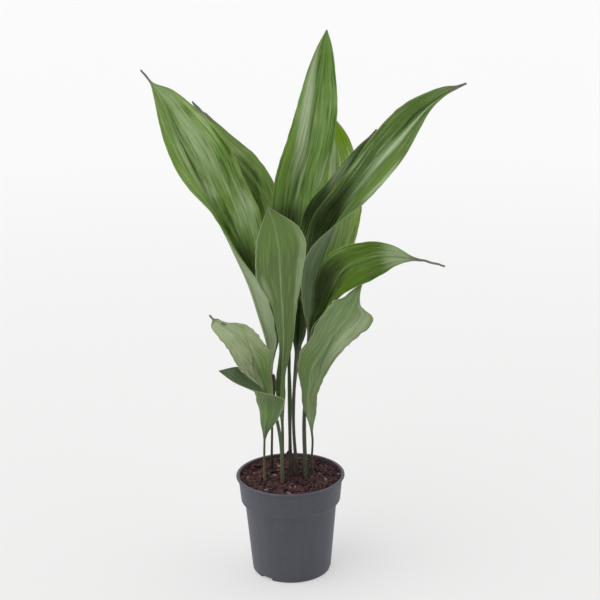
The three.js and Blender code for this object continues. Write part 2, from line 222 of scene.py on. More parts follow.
def makeFloorAcrylic():
    # Opal acrylic table, cast and matted: even, softly lit from below, with painted shade making it a
    # little greyer near the pot
    material, tree = newMaterial("opalAcrylic")
    place = addNode(tree, "TexCoord").outputs["Object"]
    far = addNode(tree, "VectorMath", {"operation": "LENGTH"}, {0: place}).outputs["Value"]
    share = addNode(tree, "MapRange", {"interpolation_type": "SMOOTHSTEP"}, {
        "Value": far, "From Min": stage["floorFades"][0], "From Max": stage["floorFades"][1]})
    colour = addNode(tree, "Mix", {"data_type": "RGBA"}, {
        0: share.outputs["Result"], 6: paint(stage["floorNear"]), 7: paint(stage["floorFar"])})
    return finishMaterial(material, {
        "Base Color": colour.outputs[2], "Roughness": 0.9,
        "Emission Color": (1, 1, 1, 1), "Emission Strength": stage["floorGlow"]})


makeStage()
print("stage: camera, floor and lights are up")


# Pot
pot = {
    "height": 130,
    "lipRadius": 70,
    "lipDepth": 2.4,
    "lipRounding": 1.2,
    "underLipRounding": 0.6,
    "mouthRounding": 0.7,
    "collarRadius": 67.2,
    "collarFootRadius": 64.2,
    "collarHeight": 33,
    "collarStep": 3,
    "bodyRadius": 59.4,
    "baseRadius": 51.2,
    "baseRounding": 3,
    "wall": 1.4,
    "sides": 144,
    "sharpFrom": 30,  # degrees between two faces
    "roomPast": 10,  # beyond the lip, so that the mouth is cut open
    "channelCount": 3,
    "channelFirstAngle": 230,
    "channelWidth": 18,
    "channelHeight": 4,
    "channelStart": 20,
    "channelPast": 10,  # beyond the base, so that the channel opens in its edge
    "channelRounding": 1.2,
    "drainRadius": 4.5,
    "drainPlaces": (29, 41),
    "drainDrill": 20,
    "drainSides": 32,
    "colour": "#444550",
    "scuffed": "#50515b",
    "roughness": (0.44, 0.6),
    # painted shade on the inside wall above the soil
    "insideShade": "#523a3b",
    "insideShadeShare": 0.75,
    "insideShadeWithin": (65.9, 66.1),  # from the middle
    "insideShadeFrom": (119, 119.5),  # above the floor
}
pot["collarFoot"] = pot["height"] - pot["collarHeight"]


def arc(centreX, centreZ, radius, fromAngle, toAngle, steps):
    points = []
    for k in range(steps + 1):
        angle = math.radians(mix(fromAngle, toAngle, k / steps))
        points.append((centreX + radius * math.cos(angle), centreZ + radius * math.sin(angle)))
    return points


def turnSolid(name, profile, sides):
    # a disc drawn up ring by ring through the profile, each ring scaled to its radius
    clearSelection()
    radius, height = profile[0]
    bpy.ops.mesh.primitive_circle_add(vertices=sides, radius=radius * mm, fill_type="NGON",
                                      location=(0, 0, height * mm))
    piece = bpy.context.object
    piece.name = name
    bpy.ops.object.transform_apply(location=True, rotation=False, scale=False)
    bpy.ops.object.mode_set(mode="EDIT")
    bpy.ops.mesh.select_all(action="SELECT")
    for nextRadius, nextHeight in profile[1:]:
        rise = (nextHeight - height) * mm
        grow = nextRadius / radius
        bpy.ops.mesh.extrude_region_move(TRANSFORM_OT_translate={"value": (0, 0, rise)})
        bpy.ops.transform.resize(value=(grow, grow, 1), center_override=(0, 0, nextHeight * mm))
        radius, height = nextRadius, nextHeight
    turnFacesOut()
    return piece


def cutWith(piece, tool):
    applyModifier(piece, "BOOLEAN", {"operation": "DIFFERENCE", "solver": "EXACT", "object": tool})
    bpy.data.objects.remove(tool, do_unlink=True)


def outsideProfile():
    # up the outside from the base, round the lip and down to the inner edge of the mouth
    lipFoot = pot["height"] - pot["lipDepth"]
    rounding = pot["baseRounding"]
    body = pot["bodyRadius"]
    bodyTop = pot["collarFoot"] - pot["collarStep"]
    collarFoot = pot["collarFootRadius"]
    foot = pot["collarFoot"]
    underLip = pot["underLipRounding"]
    lip = pot["lipRounding"]
    mouth = pot["mouthRounding"]
    return [
        *arc(pot["baseRadius"] - rounding, rounding, rounding, -90, 0, 6),
        # close rows keep the step's two bends crisp
        (body - 0.4, bodyTop - 4),
        (body, bodyTop - 0.6),
        (body + 0.5, bodyTop + 0.2),
        (collarFoot - 0.6, foot - 0.8),
        (collarFoot - 0.05, foot + 0.2),
        (collarFoot + 0.05, foot + 1.2),
        *arc(pot["collarRadius"] + 0.5, lipFoot - underLip, underLip, 180, 90, 4),
        *arc(pot["lipRadius"] - lip, lipFoot + lip, lip, -75, 90, 9),
        *arc(pot["collarRadius"] - pot["wall"] + mouth, pot["height"] - mouth, mouth, 90, 180, 5),
    ]


def insideProfile(clearance, top):
    inset = pot["wall"] + clearance
    foot = pot["collarFoot"]
    rise = (top - foot) / pot["collarHeight"]
    return [
        (pot["baseRadius"] - inset - pot["baseRounding"] * 0.5, inset),
        (pot["baseRadius"] - inset, pot["wall"] + pot["baseRounding"]),
        (pot["bodyRadius"] - inset, foot - pot["collarStep"] + pot["wall"]),
        (pot["collarFootRadius"] - inset, foot + pot["wall"]),
        (mix(pot["collarFootRadius"], pot["collarRadius"], rise) - inset, top),
    ]


def makeChannel(angle, margin):
    # the raised drainage channel under the base, a bar with rounded edges
    length = pot["baseRadius"] + pot["channelPast"] - pot["channelStart"] + margin
    middle = pot["channelStart"] - margin + length / 2
    clearSelection()
    bpy.ops.mesh.primitive_cube_add(size=1)
    bar = bpy.context.object
    bar.scale = Vector((length, pot["channelWidth"] + 2 * margin, 2 * (pot["channelHeight"] + margin))) * mm
    bpy.ops.object.transform_apply(location=False, rotation=False, scale=True)
    applyModifier(bar, "BEVEL", {"width": pot["channelRounding"] * mm, "segments": 3})
    bar.location = Vector((math.cos(angle), math.sin(angle), 0)) * middle * mm
    bar.rotation_euler = (0, 0, angle)
    bpy.ops.object.transform_apply(location=True, rotation=True, scale=False)
    return bar


def makePot():
    body = turnSolid("nurseryPot", outsideProfile(), pot["sides"])
    room = turnSolid("potRoom", insideProfile(0, pot["height"] + pot["roomPast"]), pot["sides"])
    count = pot["channelCount"]
    angles = [math.radians(pot["channelFirstAngle"] + 360 / count * k) for k in range(count)]
    for angle in angles:
        cutWith(body, makeChannel(angle, 0))
        cutWith(room, makeChannel(angle, pot["wall"]))
    cutWith(body, room)
    for angle in angles:
        for place in pot["drainPlaces"]:
            clearSelection()
            bpy.ops.mesh.primitive_cylinder_add(
                vertices=pot["drainSides"], radius=pot["drainRadius"] * mm, depth=pot["drainDrill"] * mm,
                location=(place * math.cos(angle) * mm, place * math.sin(angle) * mm, 0))
            cutWith(body, bpy.context.object)
    onlySelect(body)
    bpy.ops.object.shade_smooth_by_angle(angle=math.radians(pot["sharpFrom"]))
    finishPiece(body, "nurseryPot", makePotPlastic(), "pot_plastic", "pot")


def makePotPlastic():
    # Recycled polypropylene, injection moulded: satin blue-grey with faint flow marks and dull scuffs, and
    # painted shade inside the collar
    material, tree = newMaterial("mouldedPolypropylene")
    place = addNode(tree, "TexCoord").outputs["Object"]
    drawn = addNode(tree, "Mapping", None, {"Vector": place, "Scale": (1, 1, 0.25)}).outputs["Vector"]
    # flow marks 15 mm wide, drawn upwards, scuffs of 2 to 3 mm, and the mould's grain, which is finer in
    # truth and drawn 0.5 mm wide so that it shows
    flow = addNode(tree, "TexNoise", None, {"Vector": drawn, "Scale": 70, "Detail": 4}).outputs["Fac"]
    scuff = addNode(tree, "TexNoise", None, {"Vector": place, "Scale": 420, "Detail": 5}).outputs["Fac"]
    grain = addNode(tree, "TexNoise", None, {"Vector": place, "Scale": 2200, "Detail": 2}).outputs["Fac"]
    wear = weigh(tree, [(scuff, 0.5), (flow, 0.5)])
    clean = addNode(tree, "ValToRGB", None, {"Fac": wear}, [(0.36, pot["colour"]), (0.66, pot["scuffed"])])

    # painted shade on the inside of the collar above the soil, the only surface so near the middle at that
    # height
    level = addNode(tree, "VectorMath", {"operation": "MULTIPLY"}, {0: place, 1: (1, 1, 0)})
    reach = addNode(tree, "VectorMath", {"operation": "LENGTH"}, {0: level.outputs["Vector"]})
    within = addNode(tree, "MapRange", None, {
        "Value": reach.outputs["Value"], "From Min": pot["insideShadeWithin"][0] * mm,
        "From Max": pot["insideShadeWithin"][1] * mm, "To Min": pot["insideShadeShare"], "To Max": 0})
    height = addNode(tree, "SeparateXYZ", None, {"Vector": place}).outputs["Z"]
    above = addNode(tree, "MapRange", None, {
        "Value": height, "From Min": pot["insideShadeFrom"][0] * mm, "From Max": pot["insideShadeFrom"][1] * mm})
    insideShadeMask = addNode(tree, "Math", {"operation": "MULTIPLY"}, {
        0: within.outputs["Result"], 1: above.outputs["Result"]})
    colour = addNode(tree, "Mix", {"data_type": "RGBA"}, {
        0: insideShadeMask.outputs["Value"], 6: clean.outputs["Color"], 7: paint(pot["insideShade"])})

    rough = addNode(tree, "MapRange", None, {
        "Value": wear, "From Min": 0.3, "From Max": 0.7,
        "To Min": pot["roughness"][0], "To Max": pot["roughness"][1]})
    bump = addNode(tree, "Bump", None, {"Height": grain, "Strength": 0.25, "Distance": 0.1 * mm})
    return finishMaterial(material, {
        "Base Color": colour.outputs[2], "Roughness": rough.outputs["Result"], "IOR": 1.49,
        "Normal": bump.outputs["Normal"]})


makePot()
print("pot: turned, channels and drain holes cut")


# Leaves
growth = {
    "stalkFoot": 102,
    "soilLevel": 123,
    "footSwell": 0.7,
    "swellHeight": 25,
    "stalkGroove": 0.2,
    "grooveNarrows": 2.2,
    "bladeThickness": 0.6,
    "midribRise": 1.1,
    "midribWidth": 1.3,
    "tipHalfWidth": 0.6,
    "pleats": 4,
    "pleatDepth": 0.5,
    "finePleats": 31,
    "finePleatDepth": 0.16,
    "buckle": 1.1,
    "buckleEvery": 55,
    "bucklesAcross": 1.4,
    "edgeFrill": 0.6,
    "frillEvery": 14,
    "uneven": 0.02,
    "unevenEvery": 8,
    "fullWidth": 20,  # from this half width on, pleats, ripples and buckles show in full
    "stalkMeltsBy": 0.14,  # how far along the blade the stalk has turned into it
    "bentMeltsBy": 0.12,
    "bentPleats": 0.6,  # of the others' depth
    "bentFullWidth": 40,  # from which they show in full
    "rippleLag": 1.7,  # of one edge behind the other
    "tipCrinkle": 1.6,
    "crinkleEvery": 7,
    "crinkleComes": (-0.01, 0.05),  # as shares of the blade's length, past where it dries
    "crinkleGoes": (1, 0.97),
    "tipDries": (-0.01, 0.03),
    "tipRagged": 0.012,
    "edgeDries": (0.9, 1),  # out from the midrib
    "patchDries": (0.05, 0.3),
    "markWander": 0.06,
    "markFades": (0.4, 1.4),  # in half sizes out from the mark's middle
    "columns": 56,
    "stations": 104,
    "stalkStations": 20,
    "pathSteps": 40,
    "seam": 0.0005,  # points closer than this are one
    "sharpFrom": 40,
    "firstSeed": 1.3,
    "seedStep": 2.7,
    # painted sheen: pale patches and streaks where the waxy face would catch the light
    "paintedSheen": "#b6c79e",
    # the colour of the painted shade
    "dark": "#141d08",
    "rim": ("#8ea05a", "#b3bf9a"),  # above and below
    "underVein": "#5b6f45",
    "dry": ("#524e46", "#8f8a7e"),
    "sheen": "#cbdca4",
}

# path: the midrib, from its foot's x and y up to its tip. bladeFrom: where on the path the blade starts.
# stalk: its radius. halves: places along the blade, and how far it reaches to either side there.
# turn: which way the upper face looks. fold: degrees at the start and later, and where it has opened.
# curl: how far each half bends back. ripple: height, waves and start. twist: place along and degrees.
# edges: both edges of the bent blade, row by row. sag: how far it hangs between them.
# marks and underMarks: kind, middle across and along, half width, half length, lean and strength; the kinds
# are painted sheen, fresh green partly painted as back-light glow, and painted shade
leaves = {
    "tallMiddleLeaf": {
        "node": "leaf_tall_middle",
        "path": [
            (1, 9), (0, 15, 184), (0, 20, 233), (1, 27, 288), (3, 36, 350), (7, 46, 428), (16, 56, 496),
            (31, 64, 550), (41, 72, 599), (47, 79, 639), (54, 87, 685),
        ],
        "bladeFrom": 3, "stalk": 2.1,
        "halves": [
            (0.1, 10), (0.2, 20), (0.32, 27), (0.45, 31), (0.6, 30, 31), (0.75, 25, 28),
            (0.86, 18.5, 19.5), (0.95, 8.8, 10),
        ],
        "turn": 0, "fold": (78, 22, 0.4), "curl": 24, "ripple": (2, 2, 0.4),
        "dryFrom": 0.985,
        "deep": "#4a682b", "mid": "#6c8d45", "pale": "#92ae6c", "freshAndBacklit": "#6a8c34",
        "under": "#7d9068", "stem": ("#3a3024", "#403f33", "#47503a"),
        "marks": [
            ("paintedSheen", -0.45, 0.74, 0.3, 0.2, -1.3, 1), ("paintedSheen", 0, 0.5, 0.045, 0.11, 0.6, 0.85),
            ("paintedSheen", 0.85, 0.58, 0.08, 0.08, 1.3, 0.4), ("freshAndBacklit", -0.8, 0.6, 0.2, 0.13, -0.5, 0.8),
            ("freshAndBacklit", 0.3, 0.93, 0.6, 0.05, 0, 0.5), ("shade", -0.3, 0.39, 0.9, 0.08, 0, 0.9),
            ("shade", 0.6, 0.3, 0.8, 0.08, 0, 0.7), ("shade", -0.05, 0.72, 0.05, 0.17, -0.3, 0.35),
            ("shade", -0.15, 0.5, 0.06, 0.09, 0.6, 0.45),
        ],
    },
    "leftLargeLeaf": {
        "node": "leaf_left_large",
        "path": [
            (-25, 32), (-23, 24, 181), (-22, 19, 217), (-21, 15, 245), (-27, 11, 303), (-38, 10, 348),
            (-50, 10, 386), (-67, 11, 424), (-87, 14, 469), (-106, 21, 516), (-129, 31, 562),
            (-150, 43, 604), (-165, 50, 630), (-175, 54, 642),
        ],
        "bladeFrom": 3, "stalk": 1.6,
        "halves": [
            (0.03, 4.5, 5), (0.1, 12, 12), (0.15, 18, 18), (0.24, 21, 23), (0.34, 26, 29),
            (0.43, 31.5, 43), (0.53, 32, 53), (0.62, 32, 51.5), (0.72, 28.5, 49), (0.81, 22.5, 39),
            (0.91, 8, 19.5), (0.95, 2, 2.5), (0.98, 1),
        ],
        "turn": 70, "fold": (85, 24, 1), "curl": 26, "ripple": (2, 3.5, 2.2),
        "twist": [
            (0, 0), (0.15, 10), (0.22, 14), (0.29, 6), (0.43, -12), (0.55, -16), (0.62, -31), (0.7, -43),
            (0.81, -39), (1, -35),
        ],
        "dryFrom": 0.945,
        "deep": "#466427", "mid": "#77964c", "pale": "#afc18f", "freshAndBacklit": "#7a9c40",
        "under": "#8e9d7c", "stem": ("#46362a", "#4b483b", "#4f5844"),
        "marks": [
            ("freshAndBacklit", -0.65, 0.68, 0.3, 0.13, 0, 0.5), ("paintedSheen", -0.33, 0.7, 0.1, 0.1, 0.3, 0.5),
            ("shade", -0.08, 0.7, 0.06, 0.18, 0, 0.45), ("paintedSheen", 0.35, 0.75, 0.3, 0.14, 0, 0.5),
            ("freshAndBacklit", 0.35, 0.6, 0.12, 0.07, 0, 0.7), ("freshAndBacklit", 0.7, 0.9, 0.2, 0.05, 0, 0.6),
            ("paintedSheen", 0.45, 0.9, 0.4, 0.05, 0, 0.45), ("paintedSheen", 0.75, 0.52, 0.2, 0.08, 0, 0.5),
            ("shade", 0.3, 0.37, 0.35, 0.08, 0, 0.8), ("shade", 0, 0.1, 1.4, 0.12, 0, 0.8),
        ],
        "underMarks": [("paintedSheen", -0.5, 0.27, 0.5, 0.1, 0, 0.5)],
    },
    "leftBackLeaf": {
        "node": "leaf_left_back",
        "path": [
            (-1, 27), (0, 34, 176), (1, 41, 229), (-2, 49, 283), (-12, 60, 343), (-27, 75, 406),
            (-43, 91, 461), (-65, 105, 501), (-85, 116, 531), (-105, 127, 569), (-120, 134, 595),
        ],
        "bladeFrom": 3, "stalk": 2.1,
        "halves": [
            (0.1, 10), (0.2, 18), (0.3, 24), (0.45, 30, 34), (0.58, 34, 39.5), (0.7, 30, 36),
            (0.8, 24, 26.5), (0.9, 11, 12.5), (0.95, 2.5, 5),
        ],
        "turn": 20, "fold": (78, 24, 0.4), "curl": 22, "ripple": (2, 2.5, 1),
        "dryFrom": 0.9,
        "deep": "#4c642e", "mid": "#728c48", "pale": "#90a670", "freshAndBacklit": "#6f9040",
        "under": "#7d8f68", "stem": ("#453d2e", "#46453a", "#48513c"),
        "marks": [
            ("paintedSheen", 0.5, 0.8, 0.12, 0.06, -1, 0.4), ("shade", 0.2, 0.6, 0.2, 0.2, 0.6, 0.4),
            ("shade", 0.5, 0.44, 0.5, 0.05, 0, 0.5), ("shade", 0.5, 0.68, 0.12, 0.08, -0.5, 0.4),
            ("freshAndBacklit", 0.92, 0.68, 0.14, 0.16, 0, 0.6),
        ],
    },
    "middleBackLeaf": {
        "node": "leaf_middle_back",
        "path": [
            (8, 36), (5, 39, 174), (6, 41, 226), (15, 46, 289), (28, 56, 350), (43, 70, 403),
            (55, 84, 444), (62, 99, 480), (64, 119, 529), (57, 138, 578),
        ],
        "bladeFrom": 3, "stalk": 2.1,
        "halves": [
            (0.1, 9), (0.25, 24, 26), (0.4, 33, 37), (0.55, 37, 39), (0.7, 33, 35.5), (0.8, 26, 27.5),
            (0.9, 16, 17.5), (0.96, 7, 8),
        ],
        "turn": 5, "fold": (78, 24, 0.4), "curl": 22, "ripple": (2, 2, 0),
        "dryFrom": 0.985,
        "deep": "#587a24", "mid": "#88a84a", "pale": "#bccf94", "freshAndBacklit": "#7c9e1c",
        "under": "#86996a", "stem": ("#4a4634", "#4b4d3c", "#4d573e"),
        "marks": [
            ("freshAndBacklit", 0.55, 0.89, 0.5, 0.07, 0, 1), ("paintedSheen", -0.1, 0.79, 0.2, 0.1, 0.8, 0.8),
            ("shade", 0.08, 0.8, 0.05, 0.07, 0.8, 0.4), ("paintedSheen", 0.3, 0.48, 0.07, 0.06, 0, 0.6),
            ("paintedSheen", 0.55, 0.5, 0.3, 0.14, 0, 0.35), ("freshAndBacklit", 0.75, 0.44, 0.35, 0.1, 0, 0.25),
        ],
    },
    "rightLargeLeaf": {
        "node": "leaf_right_large",
        "path": [
            (20, 17), (19, 16, 183), (20, 12, 236), (24, 8, 291), (29, 4, 339), (35, 0, 380),
            (47, -3, 419), (59, -3, 453), (77, 1, 485), (100, 7, 515), (126, 14, 546), (149, 20, 570),
            (171, 25, 592), (195, 28, 609), (221, 32, 622),
        ],
        "bladeFrom": 3, "stalk": 2.2,
        "halves": [
            (0.05, 4, 4), (0.1, 7, 9), (0.15, 13, 16), (0.2, 22, 23), (0.28, 33, 33), (0.4, 30.5, 33),
            (0.5, 24.5, 33), (0.6, 23.5, 33), (0.7, 26, 29.5), (0.8, 25, 16.5), (0.88, 15.5, 6),
            (0.94, 8.5, 1.8), (0.97, 3, 1),
        ],
        "turn": -70, "fold": (80, 34, 0.8), "curl": 20, "ripple": (2, 2.5, 0),
        "twist": [
            (0, 0), (0.1, 0), (0.2, -6), (0.28, -14), (0.35, -7), (0.42, 17), (0.5, 36), (0.6, 40),
            (0.75, 43), (1, 33),
        ],
        "dryFrom": 0.94,
        "deep": "#384e24", "mid": "#58733a", "pale": "#889f6c", "freshAndBacklit": "#5c7a2a",
        "under": "#566b48", "stem": ("#6c6a5a", "#605e4f", "#56594a"),
        "marks": [
            ("paintedSheen", 0.1, 0.72, 0.19, 0.23, 0.6, 1), ("paintedSheen", -0.05, 0.53, 0.08, 0.07, 0.8, 0.7),
            ("freshAndBacklit", 0.62, 0.62, 0.22, 0.16, 0, 0.9), ("freshAndBacklit", -0.5, 0.8, 0.3, 0.12, 0, 0.4),
            ("paintedSheen", 0.88, 0.6, 0.07, 0.09, 0, 0.6), ("paintedSheen", -0.85, 0.6, 0.08, 0.05, 0, 0.5),
            ("shade", -0.5, 0.4, 0.6, 0.13, 0, 0.9), ("shade", 0, 0.2, 1.4, 0.16, 0, 0.85),
        ],
    },
    "rightNarrowLeaf": {
        "node": "leaf_right_narrow",
        "path": [
            (8, 18), (5, 22, 181), (6, 23, 227), (9, 23, 273), (12, 23, 300), (19, 21, 369), (29, 21, 420),
            (45, 25, 464), (63, 31, 493), (82, 38, 523), (99, 45, 547), (114, 52, 565),
        ],
        "bladeFrom": 3, "stalk": 2.1,
        "halves": [
            (0.04, 6, 7), (0.08, 9, 11), (0.13, 10, 13), (0.22, 13, 14), (0.35, 16), (0.5, 21), (0.6, 24),
            (0.7, 18), (0.8, 12.5), (0.9, 7), (0.95, 3),
        ],
        "turn": -10, "fold": (50, 40, 0.4), "curl": 20, "ripple": (1.5, 2, 0),
        "dryFrom": 0.94,
        "deep": "#33452a", "mid": "#54703a", "pale": "#7e9560", "freshAndBacklit": "#64853a",
        "under": "#5f7352", "stem": ("#6c6a60", "#63615a", "#585e50"),
        "marks": [
            ("paintedSheen", -0.6, 0.78, 0.35, 0.08, 0, 0.6), ("shade", -0.6, 0.6, 0.5, 0.09, 0, 0.7),
            ("shade", 0, 0.15, 1.6, 0.16, 0, 0.85),
        ],
        "underMarks": [("shade", 0, 0.15, 1.6, 0.16, 0, 0.7)],
    },
    "rightArchingLeaf": {
        "node": "leaf_right_arching",
        "path": [
            (19.5, 8), (18, 6, 187), (21, 2, 243), (25, -3, 295), (33, -9, 328), (46, -19, 355),
            (60, -32, 382), (78, -47, 410), (101, -60, 425), (126, -72, 431), (152, -83, 430),
            (183, -95, 424),
        ],
        "bladeFrom": 3, "stalk": 2.2,
        "halves": [
            (0.05, 3), (0.1, 5.2, 5), (0.2, 12.8, 11), (0.3, 22, 10), (0.4, 31.5, 12), (0.5, 33, 20),
            (0.6, 27, 23.4), (0.7, 20.8, 19), (0.77, 13.5, 10.5), (0.84, 3.5, 3.5), (0.89, 1.4), (0.95, 1),
        ],
        "turn": -70, "fold": (78, 24, 0.5), "curl": 22, "ripple": (1.5, 2, 1),
        "twist": [(0, 0), (0.15, 0), (0.35, 30), (1, 40)],
        "dryFrom": 0.83,
        "deep": "#2b4118", "mid": "#4a6722", "pale": "#6c8a42", "freshAndBacklit": "#4e6c12",
        "under": "#5f7352", "stem": ("#626550", "#565848", "#4c5542"),
        "marks": [
            ("shade", -0.6, 0.34, 0.6, 0.17, 0, 1), ("freshAndBacklit", 0.5, 0.47, 0.5, 0.17, 0, 1),
            ("freshAndBacklit", -0.5, 0.6, 0.4, 0.08, 0, 0.6), ("paintedSheen", 0, 0.79, 1.2, 0.08, 0, 0.6),
            ("shade", 0, 0.14, 1.4, 0.12, 0, 0.7),
        ],
    },
    "frontLeaf": {
        "node": "leaf_front",
        "path": [
            (-10, 7), (-9, -2, 190), (-10, -11, 240), (-7, -26, 288), (-5, -38, 334), (-6, -52, 380),
            (-7, -66, 418), (-8, -82, 450), (-12, -98, 478), (-18, -110, 500),
        ],
        "bladeFrom": 1, "stalk": 1.8,
        "halves": [
            (0.05, 6, 7), (0.1, 7.5, 8.5), (0.15, 8.2, 9.5), (0.2, 6.2, 9), (0.25, 5.5, 8), (0.3, 7, 6.4),
            (0.35, 10, 5), (0.4, 12.3, 6), (0.5, 15.4, 10.3), (0.55, 17.8, 12.6), (0.6, 21, 20.5),
            (0.65, 24, 28), (0.7, 27, 30), (0.8, 32, 28), (0.85, 30.7, 24.6), (0.9, 24, 18.7),
            (0.95, 10.5, 11),
        ],
        "turn": 180, "fold": (70, 16, 0.5), "curl": 18, "ripple": (1.5, 2, 0),
        "dryFrom": 0.99, "uneven": 0.045,
        "deep": "#4a6236", "mid": "#69844c", "pale": "#8da474", "freshAndBacklit": "#6f9040",
        "under": "#647a45", "stem": ("#4f4c38", "#55583f", "#5a6648"),
        "underMarks": [
            ("paintedSheen", -0.85, 0.7, 0.15, 0.2, 0, 0.5), ("freshAndBacklit", 0, 0.88, 1.2, 0.1, 0, 0.5),
            ("freshAndBacklit", 0.7, 0.84, 0.3, 0.12, 0, 0.5), ("paintedSheen", 0.75, 0.62, 0.15, 0.06, 0, 0.4),
            ("shade", 0.5, 0.3, 0.8, 0.08, 0, 0.35), ("paintedSheen", 0, 0.5, 0.03, 0.3, 0, 0.5),
        ],
    },
    "leftSmallLeaf": {
        "node": "leaf_left_small",
        "path": [
            (-10, -6), (-11, -11, 171), (-15, -13, 204), (-21, -12, 224), (-29, -18, 255), (-37, -32, 288),
            (-49, -48, 312), (-60, -59, 332), (-71, -69, 344), (-81, -78, 354), (-91, -86, 368),
        ],
        "bladeFrom": 2, "stalk": 2.2,
        "halves": [
            (0.05, 7, 11), (0.1, 12, 16), (0.2, 15.5, 16.7), (0.3, 13.8, 15.5), (0.35, 14.5, 17.8),
            (0.42, 22.5, 21), (0.5, 22.5, 22.3), (0.65, 22.5, 19.5), (0.75, 17.2, 17.8), (0.85, 8.5, 13),
            (0.9, 6, 10), (0.935, 4.5, 7), (0.955, 1.4, 1.6), (0.98, 1),
        ],
        "turn": 205, "fold": (78, 20, 0.4), "curl": 18, "ripple": (2, 2, 0),
        "dryFrom": 0.93, "wornEdge": 0.5, "uneven": 0.09,
        "deep": "#4a6236", "mid": "#69844c", "pale": "#8da474", "freshAndBacklit": "#668a38",
        "under": "#b2c090", "stem": ("#6b7258", "#616a4f", "#5a6850"),
        "underMarks": [
            ("paintedSheen", 0.2, 0.87, 1.1, 0.15, 0, 1), ("shade", -0.55, 0.875, 0.22, 0.025, 0, 0.7),
            ("paintedSheen", 0.6, 0.6, 0.25, 0.2, -0.8, 0.4), ("paintedSheen", -0.7, 0.66, 0.2, 0.1, 0, 0.5),
            ("freshAndBacklit", -0.4, 0.36, 0.6, 0.2, 0, 0.85), ("shade", 0.1, 0.5, 0.06, 0.2, -2.8, 0.45),
        ],
    },
    "rightSmallLeaf": {
        "node": "leaf_right_small",
        "path": [
            (28, 15), (28, 10, 147), (29, 2, 178), (24, -10, 215), (25, -20, 249), (30, -29, 283),
            (47, -39, 312), (63, -45, 337), (79, -49, 361), (90, -50, 394),
        ],
        "bladeFrom": 2, "stalk": 1.4,
        "halves": [
            (0.1, 11, 12), (0.2, 12, 11), (0.3, 12, 11), (0.4, 17, 17), (0.5, 20, 23), (0.6, 19, 22.5),
            (0.7, 22, 26), (0.8, 27, 27), (0.845, 28, 26), (0.865, 23, 24), (0.88, 10, 21), (0.9, 5, 17),
            (0.95, 1.5, 9),
        ],
        "turn": 165, "fold": (78, 18, 0.4), "curl": 16, "ripple": (2, 2, 2),
        "dryFrom": 0.99, "wornEdge": 0.6, "uneven": 0.07,
        "deep": "#4a6236", "mid": "#69844c", "pale": "#8da474", "freshAndBacklit": "#5f8642",
        "under": "#7c9063", "stem": ("#605b50", "#59584d", "#55604e"),
        "underMarks": [
            ("paintedSheen", -0.62, 0.72, 0.42, 0.2, 0, 0.65), ("shade", -0.25, 0.57, 0.06, 0.15, 2.2, 0.4),
            ("freshAndBacklit", 0.4, 0.42, 0.45, 0.13, 0, 0.5), ("freshAndBacklit", 0.2, 0.88, 0.4, 0.05, 0, 0.4),
        ],
    },
    "leftBentLeaf": {
        "node": "leaf_left_bent",
        "path": [(-33, -3), (-33, -6, 157), (-32, -14, 182)],
        "stalk": 1.4,
        "edges": [
            ((-26, -21, 196), (-34, -15, 194)), ((-19, -30, 208), (-36, -18, 207)),
            ((-10, -38, 226), (-37, -19, 224)), ((-5, -43, 242), (-41, -17, 238)),
            ((-6, -47, 249), (-38, -18, 247)), ((-19, -55, 257), (-34, -22, 254)),
            ((-38, -60, 264), (-40, -26, 262)), ((-50, -65, 270), (-50, -34, 273.5)),
            ((-63, -70, 278), (-59, -44, 286)), ((-72, -72, 285), (-63, -56, 294)),
            ((-83, -70, 293), (-83, -70, 293.8)),
        ],
        "sag": 0.14, "rowSteps": 8, "turn": 205,
        "dryFrom": 0.975,
        "deep": "#4d5f45", "mid": "#5c6f4f", "pale": "#718565", "freshAndBacklit": "#6a8c46",
        "under": "#5f7449", "stem": ("#85795a", "#5d6048", "#55604a"),
        "marks": [("shade", 0.8, 0.85, 0.25, 0.1, 0, 0.4)],
        "underMarks": [("freshAndBacklit", 0.1, 0.25, 0.4, 0.07, 1.5, 0.8)],
    },
}


def curveAt(pairs, place):
    # a smooth curve through (place, value) pairs
    last = len(pairs) - 1
    if place <= pairs[0][0]:
        return pairs[0][1]
    if place >= pairs[last][0]:
        return pairs[last][1]
    k = next(i for i, pair in enumerate(pairs) if pair[0] > place) - 1

    def slope(i, j):
        return (pairs[j][1] - pairs[i][1]) / (pairs[j][0] - pairs[i][0])

    before = slope(max(k - 1, 0), k + 1)
    after = slope(k, min(k + 2, last))
    run = pairs[k + 1][0] - pairs[k][0]
    t = (place - pairs[k][0]) / run
    rise = (1 - t) * (1 - t) * (pairs[k][1] * (1 + 2 * t) + before * run * t)
    return rise + t * t * (pairs[k + 1][1] * (3 - 2 * t) - after * run * (1 - t))


def between(a, b, c, d, t):
    # the curve's point and direction between b and c, with a and d beyond them
    start = (c - a) * 0.5
    end = (d - b) * 0.5
    cubic = 2 * b - 2 * c + start + end
    square = 3 * c - 3 * b - 2 * start - end
    point = cubic * t ** 3 + square * t * t + start * t + b
    return point, 3 * cubic * t * t + 2 * square * t + start


def alongPath(points, t):
    k = min(int(t), len(points) - 2)
    before = points[k - 1] if k else 2 * points[0] - points[1]
    after = points[k + 2] if k + 2 < len(points) else 2 * points[-1] - points[-2]
    return between(before, points[k], points[k + 1], after, t - k)


